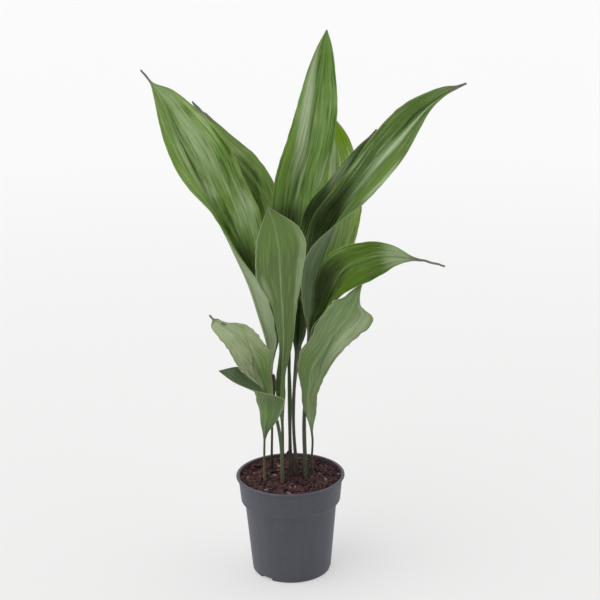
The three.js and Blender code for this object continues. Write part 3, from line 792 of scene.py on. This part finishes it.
def midribOf(leaf):
    # places and directions along the midrib: the stalk first, then the blade
    footX, footY = leaf["path"][0]
    fixed = [(footX, footY, growth["stalkFoot"]), (footX, footY, growth["soilLevel"])]
    points = [Vector(p) for p in fixed + leaf["path"][1:]]
    steps = growth["pathSteps"]
    count = (len(points) - 1) * steps
    lengths = [0]
    last = points[0]
    for k in range(1, count + 1):
        point = alongPath(points, k / steps)[0]
        lengths.append(lengths[-1] + (point - last).length)
        last = point
    total = lengths[-1]
    bent = "edges" in leaf
    bladeStart = 1 if bent else lengths[(leaf["bladeFrom"] + 1) * steps] / total
    places = [(bladeStart * k / growth["stalkStations"], 0) for k in range(growth["stalkStations"])]
    stations = 0 if bent else growth["stations"]
    for k in range(stations + 1):
        u = k / max(1, stations)
        places.append((mix(bladeStart, 1, u), u))
    turn = math.radians(leaf["turn"])
    face = Vector((math.sin(turn), -math.cos(turn), 0))
    midrib = []
    for place, u in places:
        wanted = place * total
        k = min(max(bisect.bisect_right(lengths, wanted) - 1, 0), count - 1)
        part = (wanted - lengths[k]) / (lengths[k + 1] - lengths[k])
        at, along = alongPath(points, (k + part) / steps)
        along = along.normalized()
        face = (face - along * face.dot(along)).normalized()
        twist = math.radians(curveAt(leaf.get("twist", [(0, 0), (1, 0)]), u))
        front = Quaternion(along, twist) @ face
        midrib.append({"at": at, "front": front, "side": along.cross(front), "u": u,
                       "inBlade": place >= bladeStart, "mmAlong": (place - bladeStart) * total})
    return midrib


def stalkOutline(radius):
    # a round stalk with a shallow groove along its front, the front half first
    columns = growth["columns"]
    edge = math.pi / (2 * (columns + 1))
    front = []
    back = []
    for j in range(columns + 1):
        angle = mix(math.pi - edge, edge, j / columns)
        x = radius * math.cos(angle)
        groove = growth["stalkGroove"] * radius * math.exp(-(growth["grooveNarrows"] * x / radius) ** 2)
        front.append((x, radius * math.sin(angle) - groove))
        angle = mix(edge, math.pi - edge, j / columns)
        back.append((radius * math.cos(angle), -radius * math.sin(angle)))
    return front + back


def pleatAt(across, u, seed):
    # broad folds as in the solid, finer ones between the veins, both a little uneven
    broad = -math.cos(growth["pleats"] * math.pi * (across + 1) + 0.5 * math.sin(2.6 * across + seed))
    wander = 2.2 * math.sin(3.1 * across + 1.7 * seed) + 0.8 * u
    fine = math.sin(growth["finePleats"] * across + wander)
    swell = 0.75 + 0.5 * wobble(across * 2.2, u * 2.5, seed * 3.1)
    return growth["pleatDepth"] * broad * swell + growth["finePleatDepth"] * fine


def ribAt(offMidrib):
    # how far the midrib stands out below the blade
    return growth["midribRise"] * math.exp(-(offMidrib / growth["midribWidth"]) ** 2)


def withUnderside(upper, sizes):
    # the underside lies a thickness below, with the midrib standing out of it
    columns = growth["columns"]
    lower = []
    for j, (x, y) in enumerate(upper):
        before = upper[max(j - 1, 0)]
        after = upper[min(j + 1, columns)]
        down = Vector((after[1] - before[1], before[0] - after[0])).normalized()
        depth = growth["bladeThickness"] + ribAt(sizes[j])
        lower.append((x + down.x * depth, y + down.y * depth))
    return upper + lower[::-1]


def bladeOutline(leaf, u, mmAlong, seed):
    halves = [(0, leaf["stalk"])] + leaf["halves"] + [(1, growth["tipHalfWidth"])]
    reach = [curveAt([(row[0], row[min(side, len(row) - 1)]) for row in halves], u) for side in (1, 2)]
    foldAtStart, foldLater, opensBy = leaf["fold"]
    fold = math.radians(mix(foldAtStart, foldLater, smooth(0, opensBy, u)))
    curl = math.radians(leaf["curl"])
    height, waves, start = leaf["ripple"]
    uneven = leaf.get("uneven", growth["uneven"])
    upper = []
    sizes = []
    for j in range(growth["columns"] + 1):
        across = 2 * j / growth["columns"] - 1
        out = abs(across)
        side = 1 if across > 0 else 0
        half = reach[side] * (1 + uneven * wobble(mmAlong / growth["unevenEvery"], side * 5, seed))
        share = min(1, half / growth["fullWidth"])
        x = half * (math.sin(fold) - math.sin(fold - curl * out)) / curl
        y = half * (math.cos(fold - curl * out) - math.cos(fold)) / curl
        phase = 2 * math.pi * waves * u + start + (growth["rippleLag"] if side else 0)
        y += height * out * out * math.sin(phase) * math.sin(math.pi * u) * share
        frill = wobble(mmAlong / growth["frillEvery"], side * 9, seed)
        y += growth["edgeFrill"] * out ** 4 * frill * share * 2
        buckle = wobble(across * growth["bucklesAcross"], mmAlong / growth["buckleEvery"], seed)
        y += growth["buckle"] * buckle * share
        y += pleatAt(across, u, seed) * share
        upper.append((math.copysign(x, across), y))
        sizes.append(out * half)
    return withUnderside(upper, sizes)


def leafRings(leaf, seed):
    # rings of points in mm, with how much of each ring is still stalk and how far along it is
    rings = []
    level = growth["soilLevel"]
    for spot in midribOf(leaf):
        u = spot["u"]
        swell = growth["footSwell"] * (1 - smooth(level, level + growth["swellHeight"], spot["at"].z))
        stalk = stalkOutline(leaf["stalk"] + swell)
        part = 0
        blade = stalk
        if spot["inBlade"] and "edges" not in leaf:
            blade = bladeOutline(leaf, u, spot["mmAlong"], seed)
            part = smooth(0, growth["stalkMeltsBy"], u)
        comes = [leaf["dryFrom"] + past for past in growth["crinkleComes"]]
        crinkle = growth["tipCrinkle"] * smooth(*comes, u) * smooth(*growth["crinkleGoes"], u)
        crinkle *= wobble(spot["mmAlong"] / growth["crinkleEvery"], 0, seed + 2)
        centre = spot["at"] + spot["front"] * crinkle + Vector((0, 0, crinkle))
        ring = [centre + spot["side"] * mix(a[0], b[0], part) + spot["front"] * mix(a[1], b[1], part)
                for a, b in zip(stalk, blade)]
        rings.append({"points": ring, "stalk": 1 - part, "u": u})
    return rings


def bentRings(leaf, lastRing, seed):
    # the bent blade between its two edges, drawn smoothly through its rows
    columns = growth["columns"]
    rows = [(Vector(left), Vector(right)) for left, right in leaf["edges"]]
    middles = [(left + right) / 2 for left, right in rows]
    key = [lastRing["points"]]
    for i, (left, right) in enumerate(rows):
        along = (middles[min(i + 1, len(rows) - 1)] - middles[max(i - 1, 0)]).normalized()
        width = (right - left).length
        face = (right - left).cross(along).normalized()
        upper = []
        lower = []
        for j in range(columns + 1):
            across = 2 * j / columns - 1
            bow = leaf["sag"] * width * (1 - across * across)
            pleat = pleatAt(across, i / (len(rows) - 1), seed) * growth["bentPleats"]
            bow -= pleat * min(1, width / growth["bentFullWidth"])
            point = left.lerp(right, j / columns) - face * bow
            rib = ribAt(across * width / 2) * min(1, width / growth["fullWidth"])
            upper.append(point)
            lower.append(point - face * (growth["bladeThickness"] + rib))
        key.append(upper + lower[::-1])
    rings = []
    steps = leaf["rowSteps"]
    for i in range(len(key) - 1):
        before = key[max(i - 1, 0)]
        after = key[min(i + 2, len(key) - 1)]
        for step in range(1, steps + 1):
            points = [between(a, b, c, d, step / steps)[0]
                      for a, b, c, d in zip(before, key[i], key[i + 1], after)]
            u = (i + step / steps) / (len(key) - 1)
            rings.append({"points": points, "stalk": 1 - smooth(0, growth["bentMeltsBy"], u), "u": u})
    return rings


def drynessAt(leaf, across, u, seed):
    # dry brown at the tip, and in places along the very edge
    ragged = growth["tipRagged"] * wobble(across * 3, 0, seed)
    tip = smooth(*[leaf["dryFrom"] + past for past in growth["tipDries"]], u + ragged)
    worn = leaf.get("wornEdge", 0)
    patch = wobble(u * 9, across * 0.7, seed + 4)
    edge = smooth(*growth["edgeDries"], abs(across)) * smooth(*growth["patchDries"], patch + 0.5 * worn)
    return max(tip, edge * worn)


def markShare(marks, kind, across, u, seed):
    # how strongly the marks of one kind show at a place: soft ovals, leaning and a little uneven
    share = 0
    wander = growth["markWander"] * wobble(across * 2, u * 9, seed)
    for markKind, middle, height, width, length, lean, strength in marks:
        if markKind == kind:
            off = (across + wander - middle - lean * (u - height)) / width
            up = (u - height) / length
            share = max(share, strength * (1 - smooth(*growth["markFades"], math.hypot(off, up))))
    return share


def makeLeaf(name, leaf, seed):
    rings = leafRings(leaf, seed)
    if "edges" in leaf:
        rings += bentRings(leaf, rings[-1], seed)
    columns = growth["columns"]
    around = 2 * (columns + 1)
    rows = len(rings) - 1
    clearSelection()
    bpy.ops.mesh.primitive_grid_add(x_subdivisions=around, y_subdivisions=rows, size=1)
    piece = bpy.context.object
    mesh = piece.data
    mesh.uv_layers[0].name = "bladeMap"
    layers = {kind: [0] * len(mesh.vertices) for kind in skin["attributes"]}
    maps = [None] * len(mesh.vertices)
    for vertex in mesh.vertices:
        # the grid is rolled into a tube: its first and last columns meet along one edge of the blade
        k = round((vertex.co.x + 0.5) * around) % around
        i = round((vertex.co.y + 0.5) * rows)
        lower = k > columns
        across = 2 * (around - 1 - k if lower else k) / columns - 1
        u = rings[i]["u"]
        vertex.co = rings[i]["points"][k] * mm
        layers["under"][vertex.index] = 1 if lower else 0
        layers["stalk"][vertex.index] = rings[i]["stalk"]
        layers["dry"][vertex.index] = drynessAt(leaf, across, u, seed)
        marks = leaf.get("underMarks" if lower else "marks", [])
        # soft patches of painted sheen, fresh green partly painted as back-light glow, and painted shade
        for kind in skin["markKinds"]:
            layers[kind][vertex.index] = markShare(marks, kind, across, u, seed)
        maps[vertex.index] = (0.5 + 0.5 * across, u)
    for kind, values in layers.items():
        mesh.attributes.new(kind, "FLOAT", "POINT").data.foreach_set("value", values)
    bladeMap = mesh.uv_layers["bladeMap"]
    for loop in mesh.loops:
        bladeMap.uv[loop.index].vector = maps[loop.vertex_index]
    bpy.ops.object.mode_set(mode="EDIT")
    bpy.ops.mesh.select_all(action="SELECT")
    bpy.ops.mesh.remove_doubles(threshold=growth["seam"] * mm)
    bpy.ops.mesh.fill_holes(sides=0)
    turnFacesOut()
    bpy.ops.object.shade_smooth_by_angle(angle=math.radians(growth["sharpFrom"]))
    finishPiece(piece, name, makeLeafSkin(name, leaf, seed), "leaf", leaf["node"])


skin = {
    "attributes": ("under", "stalk", "dry", "paintedSheen", "freshAndBacklit", "shade"),
    "markKinds": ("paintedSheen", "freshAndBacklit", "shade"),
    # each pattern: how often it changes across and along the blade, and its detail
    "patterns": {
        "bands": ((8, 5, 1), 3),  # 8 mm wide on a 60 mm blade
        "veins": ((36, 9, 1), 3),  # 1.7 mm: the strong veins, drawn wider than they are so that they show
        "lines": ((90, 12, 1), 2),  # 0.7 mm, as the fine veins
        "glints": ((44, 7, 1), 1),  # 1.4 mm: light caught along the folds
    },
    "cloudScale": 34,  # 30 mm, through the leaf's own space
    "swayScale": (3, 2.5, 1),
    "sway": 0.07,
    "streak": (("clouds", 0.16), ("bands", 0.24), ("lines", 0.18), ("veins", 0.42)),
    # each share: what it reads, from low and high, to low and high
    "shares": {
        "underVein": ("veins", 0.4, 0.58, 0.5, 0),
        "underGlint": ("glints", 0.54, 0.68, 0, 0.2),
        "glint": ("glints", 0.6, 0.7, 0, 1),
        "glintBand": ("bands", 0.42, 0.58, 0, 0.4),
        # breaks up the fresh green, which is partly painted back-light glow
        "freshAndBacklitBand": ("bands", 0.35, 0.6, 0.55, 1),
        "paintedSheenVein": ("veins", 0.38, 0.56, 0.6, 1),
        "shadeLine": ("lines", 0.35, 0.65, 1, 0.8),
        "midrib": ("out", 0.012, 0.045, 0.4, 0),
        "rim": ("out", 0.94, 0.985, 0, 0.55),
        "upStem": ("height", 0.123, 0.2, 0, 1),
        "gloss": ("streak", 0.35, 0.65, 0.31, 0.44),
    },
    "dull": 0.62,
    # each colour ramp: what it reads, and where its colours stand
    "ramps": {
        "streak": ("streak", (0.42, 0.48, 0.52, 0.6)),
        "stem": ("upStem", (0, 0.4, 1)),
        "crisp": ("veins", (0.35, 0.6)),
    },
}


def makeLeafSkin(name, leaf, seed):
    # Living leaf with a waxy cuticle, grown: glossy green above, with pale and dark streaks along its
    # veins and soft patches of painted sheen, fresh green partly painted as back-light glow, and painted
    # shade; matt and greyer below; a dull stalk
    material, tree = newMaterial("waxyLeaf_" + name)
    bladeMap = addNode(tree, "UVMap", {"uv_map": "bladeMap"}).outputs["UV"]
    place = addNode(tree, "TexCoord").outputs["Object"]
    value = {"height": addNode(tree, "SeparateXYZ", None, {"Vector": place}).outputs["Z"]}
    for kind in skin["attributes"]:
        value[kind] = addNode(tree, "Attribute", {"attribute_name": kind}).outputs["Fac"]

    # how far out from the midrib, 0 to 1
    across = addNode(tree, "SeparateXYZ", None, {"Vector": bladeMap}).outputs["X"]
    centred = addNode(tree, "Math", {"operation": "MULTIPLY_ADD"}, {0: across, 1: 2, 2: -1})
    out = addNode(tree, "Math", {"operation": "ABSOLUTE"}, {0: centred.outputs["Value"]})
    value["out"] = out.outputs["Value"]

    # the streaks wander a little, as veins do
    sway = addNode(tree, "Mapping", None, {
        "Vector": bladeMap, "Location": (seed, seed, seed), "Scale": skin["swayScale"]})
    swayNoise = addNode(tree, "TexNoise", None, {"Vector": sway.outputs["Vector"], "Scale": 1, "Detail": 1})
    bent = addNode(tree, "VectorMath", {"operation": "MULTIPLY_ADD"}, {
        0: swayNoise.outputs["Color"], 1: (skin["sway"], 0, 0), 2: bladeMap}).outputs["Vector"]
    for kind, (scale, detail) in skin["patterns"].items():
        drawn = addNode(tree, "Mapping", None, {
            "Vector": bent, "Location": (seed, 2 * seed, seed), "Scale": scale})
        value[kind] = addNode(tree, "TexNoise", None, {
            "Vector": drawn.outputs["Vector"], "Scale": 1, "Detail": detail}).outputs["Fac"]
    value["clouds"] = addNode(tree, "TexNoise", None, {
        "Vector": place, "Scale": skin["cloudScale"], "Detail": 3}).outputs["Fac"]
    value["streak"] = weigh(tree, [(value[kind], share) for kind, share in skin["streak"]])
    for kind, (source, low, high, toLow, toHigh) in skin["shares"].items():
        value[kind] = addNode(tree, "MapRange", None, {
            "Value": value[source], "From Min": low, "From Max": high,
            "To Min": toLow, "To Max": toHigh}).outputs["Result"]

    def laid(base, *layers):
        # each layer is a colour, and the values whose product says how much of it shows
        for colour, first, *others in layers:
            share = value[first]
            for other in others:
                both = addNode(tree, "Math", {"operation": "MULTIPLY"}, {0: share, 1: value[other]})
                share = both.outputs["Value"]
            base = addNode(tree, "Mix", {"data_type": "RGBA"}, {0: share, 6: base, 7: colour}).outputs[2]
        return base

    # the colour of the painted sheen
    paintedSheen = paint(growth["paintedSheen"])
    greens = (leaf["deep"], leaf["mid"], leaf["mid"], leaf["pale"])
    colours = {"streak": greens, "stem": leaf["stem"], "crisp": growth["dry"]}
    ramp = {}
    for kind, (source, places) in skin["ramps"].items():
        stops = list(zip(places, colours[kind]))
        ramp[kind] = addNode(tree, "ValToRGB", None, {"Fac": value[source]}, stops).outputs["Color"]
    upper = laid(ramp["streak"], (paintedSheen, "glint", "glintBand"))
    lower = laid(paint(leaf["under"]), (paint(growth["underVein"]), "underVein"), (paintedSheen, "underGlint"))
    rim = laid(paint(growth["rim"][0]), (paint(growth["rim"][1]), "under"))
    colour = laid(
        upper,
        (lower, "under"),
        # fresh green, partly painted back-light glow
        (paint(leaf["freshAndBacklit"]), "freshAndBacklit", "freshAndBacklitBand"),
        (paintedSheen, "paintedSheen", "paintedSheenVein"),
        (paint(leaf["pale"]), "midrib"),
        (rim, "rim"),
        # painted shade
        (paint(growth["dark"]), "shade", "shadeLine"),
        (ramp["stem"], "stalk"),
        (ramp["crisp"], "dry"))

    dull = addNode(tree, "Math", {"operation": "MAXIMUM"}, {0: value["under"], 1: value["dry"]})
    rough = addNode(tree, "Mix", {"data_type": "FLOAT"}, {
        0: dull.outputs["Value"], 2: value["gloss"], 3: skin["dull"]})
    bump = addNode(tree, "Bump", None, {"Height": value["lines"], "Strength": 0.5, "Distance": 0.25 * mm})
    return finishMaterial(material, {
        "Base Color": colour, "Roughness": rough.outputs[0], "IOR": 1.45, "Specular IOR Level": 0.42,
        "Specular Tint": paint(growth["sheen"]), "Normal": bump.outputs["Normal"]})


for number, (name, leaf) in enumerate(leaves.items()):
    makeLeaf(name, leaf, growth["firstSeed"] + growth["seedStep"] * number)
print("leaves:", len(leaves), "blades drawn out of their stalks")


# Scale leaves: papery dry sleeves that still clasp three of the stalks
sheaths = {
    "middleSheath": {
        "around": "tallMiddleLeaf", "low": 121, "high": 158, "radii": (3.6, 6.2), "facing": 250,
        "wraps": (330, 190), "colours": ("#2b211b", "#63544a"),
    },
    "leftSheath": {
        "around": "leftLargeLeaf", "low": 212, "high": 262, "radii": (2.6, 5.4), "facing": 300,
        "wraps": (330, 200), "colours": ("#30352a", "#575a44"),
    },
    "rightSheath": {
        "around": "rightLargeLeaf", "low": 121, "high": 146, "radii": (3.8, 4.8), "facing": 230,
        "wraps": (320, 200), "colours": ("#3d4029", "#6f7050"),
    },
}
sheathMake = {
    "rows": 26, "columns": 30, "wall": 0.3, "frayed": 1.2, "uneven": 0.35, "flare": 1.4, "firstSeed": 2.1,
}


def stalkCentre(leaf, height):
    spots = [spot["at"] for spot in midribOf(leaf)]
    for a, b in zip(spots, spots[1:]):
        if b.z >= height:
            return a.lerp(b, (height - a.z) / (b.z - a.z))
    return spots[-1]


def makeSheath(name, sheath, seed):
    # a grid wrapped nearly round its stalk, opening upwards and ending in a frayed point
    clearSelection()
    bpy.ops.mesh.primitive_grid_add(
        x_subdivisions=sheathMake["columns"], y_subdivisions=sheathMake["rows"], size=1)
    piece = bpy.context.object
    leaf = leaves[sheath["around"]]
    for vertex in piece.data.vertices:
        across = 2 * vertex.co.x
        part = vertex.co.y + 0.5
        top = mix(sheath["high"], sheath["low"], 0.5 * across * across)
        top += sheathMake["frayed"] * wobble(across * 4, 0, seed)
        height = mix(sheath["low"], top, part)
        share = (height - sheath["low"]) / (sheath["high"] - sheath["low"])
        angle = math.radians(sheath["facing"] + 0.5 * across * mix(*sheath["wraps"], share))
        radius = mix(*sheath["radii"], share ** sheathMake["flare"])
        radius += sheathMake["uneven"] * wobble(across * 3, share * 4, seed)
        centre = stalkCentre(leaf, height)
        vertex.co = (centre + Vector((math.cos(angle), math.sin(angle), 0)) * radius) * mm
    applyModifier(piece, "SOLIDIFY", {"thickness": sheathMake["wall"] * mm})
    bpy.ops.object.mode_set(mode="EDIT")
    turnFacesOut()
    bpy.ops.object.shade_smooth_by_angle(angle=math.radians(growth["sharpFrom"]))
    finishPiece(piece, name, makeDryScale(name, sheath), "leaf")


def makeDryScale(name, sheath):
    # Dead scale leaf, dried on the plant: papery, dull and ribbed lengthwise, paler between the ribs
    material, tree = newMaterial("dryScale_" + name)
    place = addNode(tree, "TexCoord").outputs["Object"]
    drawn = addNode(tree, "Mapping", None, {"Vector": place, "Scale": (1, 1, 0.08)}).outputs["Vector"]
    # ribs 1 mm apart
    ribs = addNode(tree, "TexNoise", None, {"Vector": drawn, "Scale": 900, "Detail": 3}).outputs["Fac"]
    colour = addNode(tree, "ValToRGB", None, {"Fac": ribs}, list(zip((0.36, 0.64), sheath["colours"])))
    bump = addNode(tree, "Bump", None, {"Height": ribs, "Strength": 0.6, "Distance": 0.3 * mm})
    return finishMaterial(material, {
        "Base Color": colour.outputs["Color"], "Roughness": 0.78, "IOR": 1.45,
        "Normal": bump.outputs["Normal"]})


for number, (name, sheath) in enumerate(sheaths.items()):
    makeSheath(name, sheath, sheathMake["firstSeed"] + number)
print("scale leaves:", len(sheaths))


# Soil
soil = {
    "level": 123,
    "rimRise": 3,  # heaped up against the pot's wall
    "clearance": 0.3,
    "sides": 144,
    "topRings": 30,
    "bumps": 1.3,
    "sunk": 0.9,  # so that the chips come up to the solid's level
    "crumble": 0.9,
    "crumbleSize": 3.4,
    "chipCount": 820,
    "chipSize": ((3.2, 7.5), (2.4, 4.6), (1.2, 2.6)),
    "crumbCount": 420,
    "crumbSize": ((1.4, 2.6), (1.2, 2.2), (0.9, 1.8)),
    "chipShapes": 6,
    "chipRounded": 0.6,
    "chipKnocked": 0.17,
    "chipFirstSeed": 3,
    "sharpFrom": 28,
    "fromRim": 1.5,
    "fromStalk": 3.2,
    "tilt": 0.3,  # radians, as a spread
    "fullTurn": 6.28,
    "standsOut": 0.35,  # of a chip's thickness
    "lifted": (-0.4, 0.5),
    "seed": 11,
    "paleShare": 0.05,
    "paleShareInSpots": 0.5,
    "paleSpots": ((-26, -32), (10, -30)),
    "paleSpotRadius": 8,
    "darkShare": 0.3,
    "dark": ("#1e0f11", "#3a1f21"),
    "red": ("#331719", "#5a3433"),
    "pale": ("#5e453d", "#94776a"),
}


def soilTop(x, y):
    # heaps and hollows as in the solid, with a crumbly surface laid over them
    rim = insideProfile(soil["clearance"], soil["level"] + soil["rimRise"])[-1][0]
    long = math.sin(0.11 * x + 0.6) * math.cos(0.13 * y - 0.4)
    short = math.sin(0.31 * x - 0.27 * y) * math.cos(0.23 * x + 0.37 * y + 1)
    edge = max(0, (math.hypot(x, y) / rim - 0.8) / 0.2)
    bumps = soil["bumps"] * (0.6 * long + 0.5 * short) * (1 - edge)
    crumble = soil["crumble"] * noise.noise(Vector((x, y, 3)) / soil["crumbleSize"])
    return soil["level"] + soil["rimRise"] * edge * edge - soil["sunk"] + bumps + crumble


def makeSoilBody():
    rimHeight = soil["level"] + soil["rimRise"]
    profile = insideProfile(soil["clearance"], rimHeight - 1)
    rim = profile[-1][0]
    profile += [(rim * (1 - k / soil["topRings"]), rimHeight) for k in range(1, soil["topRings"])]
    body = turnSolid("pottingMix", profile, soil["sides"])
    for vertex in body.data.vertices:
        if vertex.co.z > (rimHeight - 0.01) * mm:
            vertex.co.z = soilTop(vertex.co.x / mm, vertex.co.y / mm) * mm
    onlySelect(body)
    bpy.ops.object.shade_smooth()
    finishPiece(body, "pottingMix", makeBark("compostedPeat", "dark"), "potting_soil", "soil")


def makeChipShapes():
    # blocky chips, each a cube cut once each way and knocked out of true
    shapes = []
    for k in range(soil["chipShapes"]):
        clearSelection()
        bpy.ops.mesh.primitive_cube_add(size=1)
        bpy.ops.object.mode_set(mode="EDIT")
        bpy.ops.mesh.select_all(action="SELECT")
        bpy.ops.mesh.subdivide(number_cuts=1, smoothness=soil["chipRounded"])
        bpy.ops.transform.vertex_random(
            offset=soil["chipKnocked"], uniform=0.5, seed=k + soil["chipFirstSeed"])
        bpy.ops.object.mode_set(mode="OBJECT")
        shapes.append(bpy.context.object)
    return shapes


def toneOf(x, y, draw):
    near = min(math.hypot(x - a, y - b) for a, b in soil["paleSpots"]) < soil["paleSpotRadius"]
    if draw < (soil["paleShareInSpots"] if near else soil["paleShare"]):
        return "pale"
    return "dark" if draw > 1 - soil["darkShare"] else "red"


def scatterChips(shapes):
    rng = random.Random(soil["seed"])
    feet = [Vector(leaf["path"][0]) for leaf in leaves.values()]
    heaps = {"dark": [], "red": [], "pale": []}
    reach = insideProfile(soil["clearance"], soil["level"])[-1][0] - soil["fromRim"]
    for k in range(soil["chipCount"] + soil["crumbCount"]):
        radius = reach * math.sqrt(rng.random())
        angle = rng.uniform(0, 2 * math.pi)
        x, y = radius * math.cos(angle), radius * math.sin(angle)
        size = Vector([rng.uniform(*span) for span in soil["chipSize"]])
        if k >= soil["chipCount"]:
            size = Vector([rng.uniform(*span) for span in soil["crumbSize"]])
        if min((Vector((x, y)) - foot).length for foot in feet) < soil["fromStalk"] + size.x / 2:
            continue
        tone = toneOf(x, y, rng.random())
        chip = rng.choice(shapes).copy()
        chip.data = chip.data.copy()
        bpy.context.collection.objects.link(chip)
        tilt = Euler((
            rng.gauss(0, soil["tilt"]), rng.gauss(0, soil["tilt"]), rng.uniform(0, soil["fullTurn"])))
        height = soilTop(x, y) + size.z * soil["standsOut"] + rng.uniform(*soil["lifted"])
        place = Matrix.Translation(Vector((x, y, height)) * mm)
        chip.matrix_world = place @ tilt.to_matrix().to_4x4() @ Matrix.Diagonal((*(size * mm), 1))
        heaps[tone].append(chip)
    return heaps


def makeSoil():
    makeSoilBody()
    shapes = makeChipShapes()
    heaps = scatterChips(shapes)
    for tone, title in (("dark", "compostedBark"), ("red", "chippedBark"), ("pale", "paleBark")):
        clearSelection()
        for chip in heaps[tone]:
            chip.select_set(True)
        bpy.context.view_layer.objects.active = heaps[tone][0]
        bpy.ops.object.join()
        bpy.ops.object.transform_apply(location=True, rotation=True, scale=True)
        bpy.ops.object.shade_smooth_by_angle(angle=math.radians(soil["sharpFrom"]))
        finishPiece(bpy.context.object, title, makeBark(title + "Skin", tone), "potting_soil")
    for shape in shapes:
        bpy.data.objects.remove(shape, do_unlink=True)


def makeBark(name, tone):
    # Pine bark, chipped and composted: dull, damp and fibrous, each chip of its own brown
    material, tree = newMaterial(name)
    place = addNode(tree, "TexCoord").outputs["Object"]
    # patches of 5 mm, as large as a chip, and fibres of 1 mm
    patch = addNode(tree, "TexNoise", None, {"Vector": place, "Scale": 190, "Detail": 2}).outputs["Fac"]
    fibre = addNode(tree, "TexNoise", None, {"Vector": place, "Scale": 900, "Detail": 4}).outputs["Fac"]
    brown = weigh(tree, [(fibre, 0.4), (patch, 0.6)])
    colour = addNode(tree, "ValToRGB", None, {"Fac": brown}, list(zip((0.36, 0.64), soil[tone])))
    rough = addNode(tree, "MapRange", None, {"Value": fibre, "To Min": 0.68, "To Max": 0.95})
    bump = addNode(tree, "Bump", None, {"Height": fibre, "Strength": 0.7, "Distance": 0.5 * mm})
    return finishMaterial(material, {
        "Base Color": colour.outputs["Color"], "Roughness": rough.outputs["Result"], "IOR": 1.45,
        "Normal": bump.outputs["Normal"]})


makeSoil()
print("soil: filled and covered with bark")

bpy.context.view_layer.update()
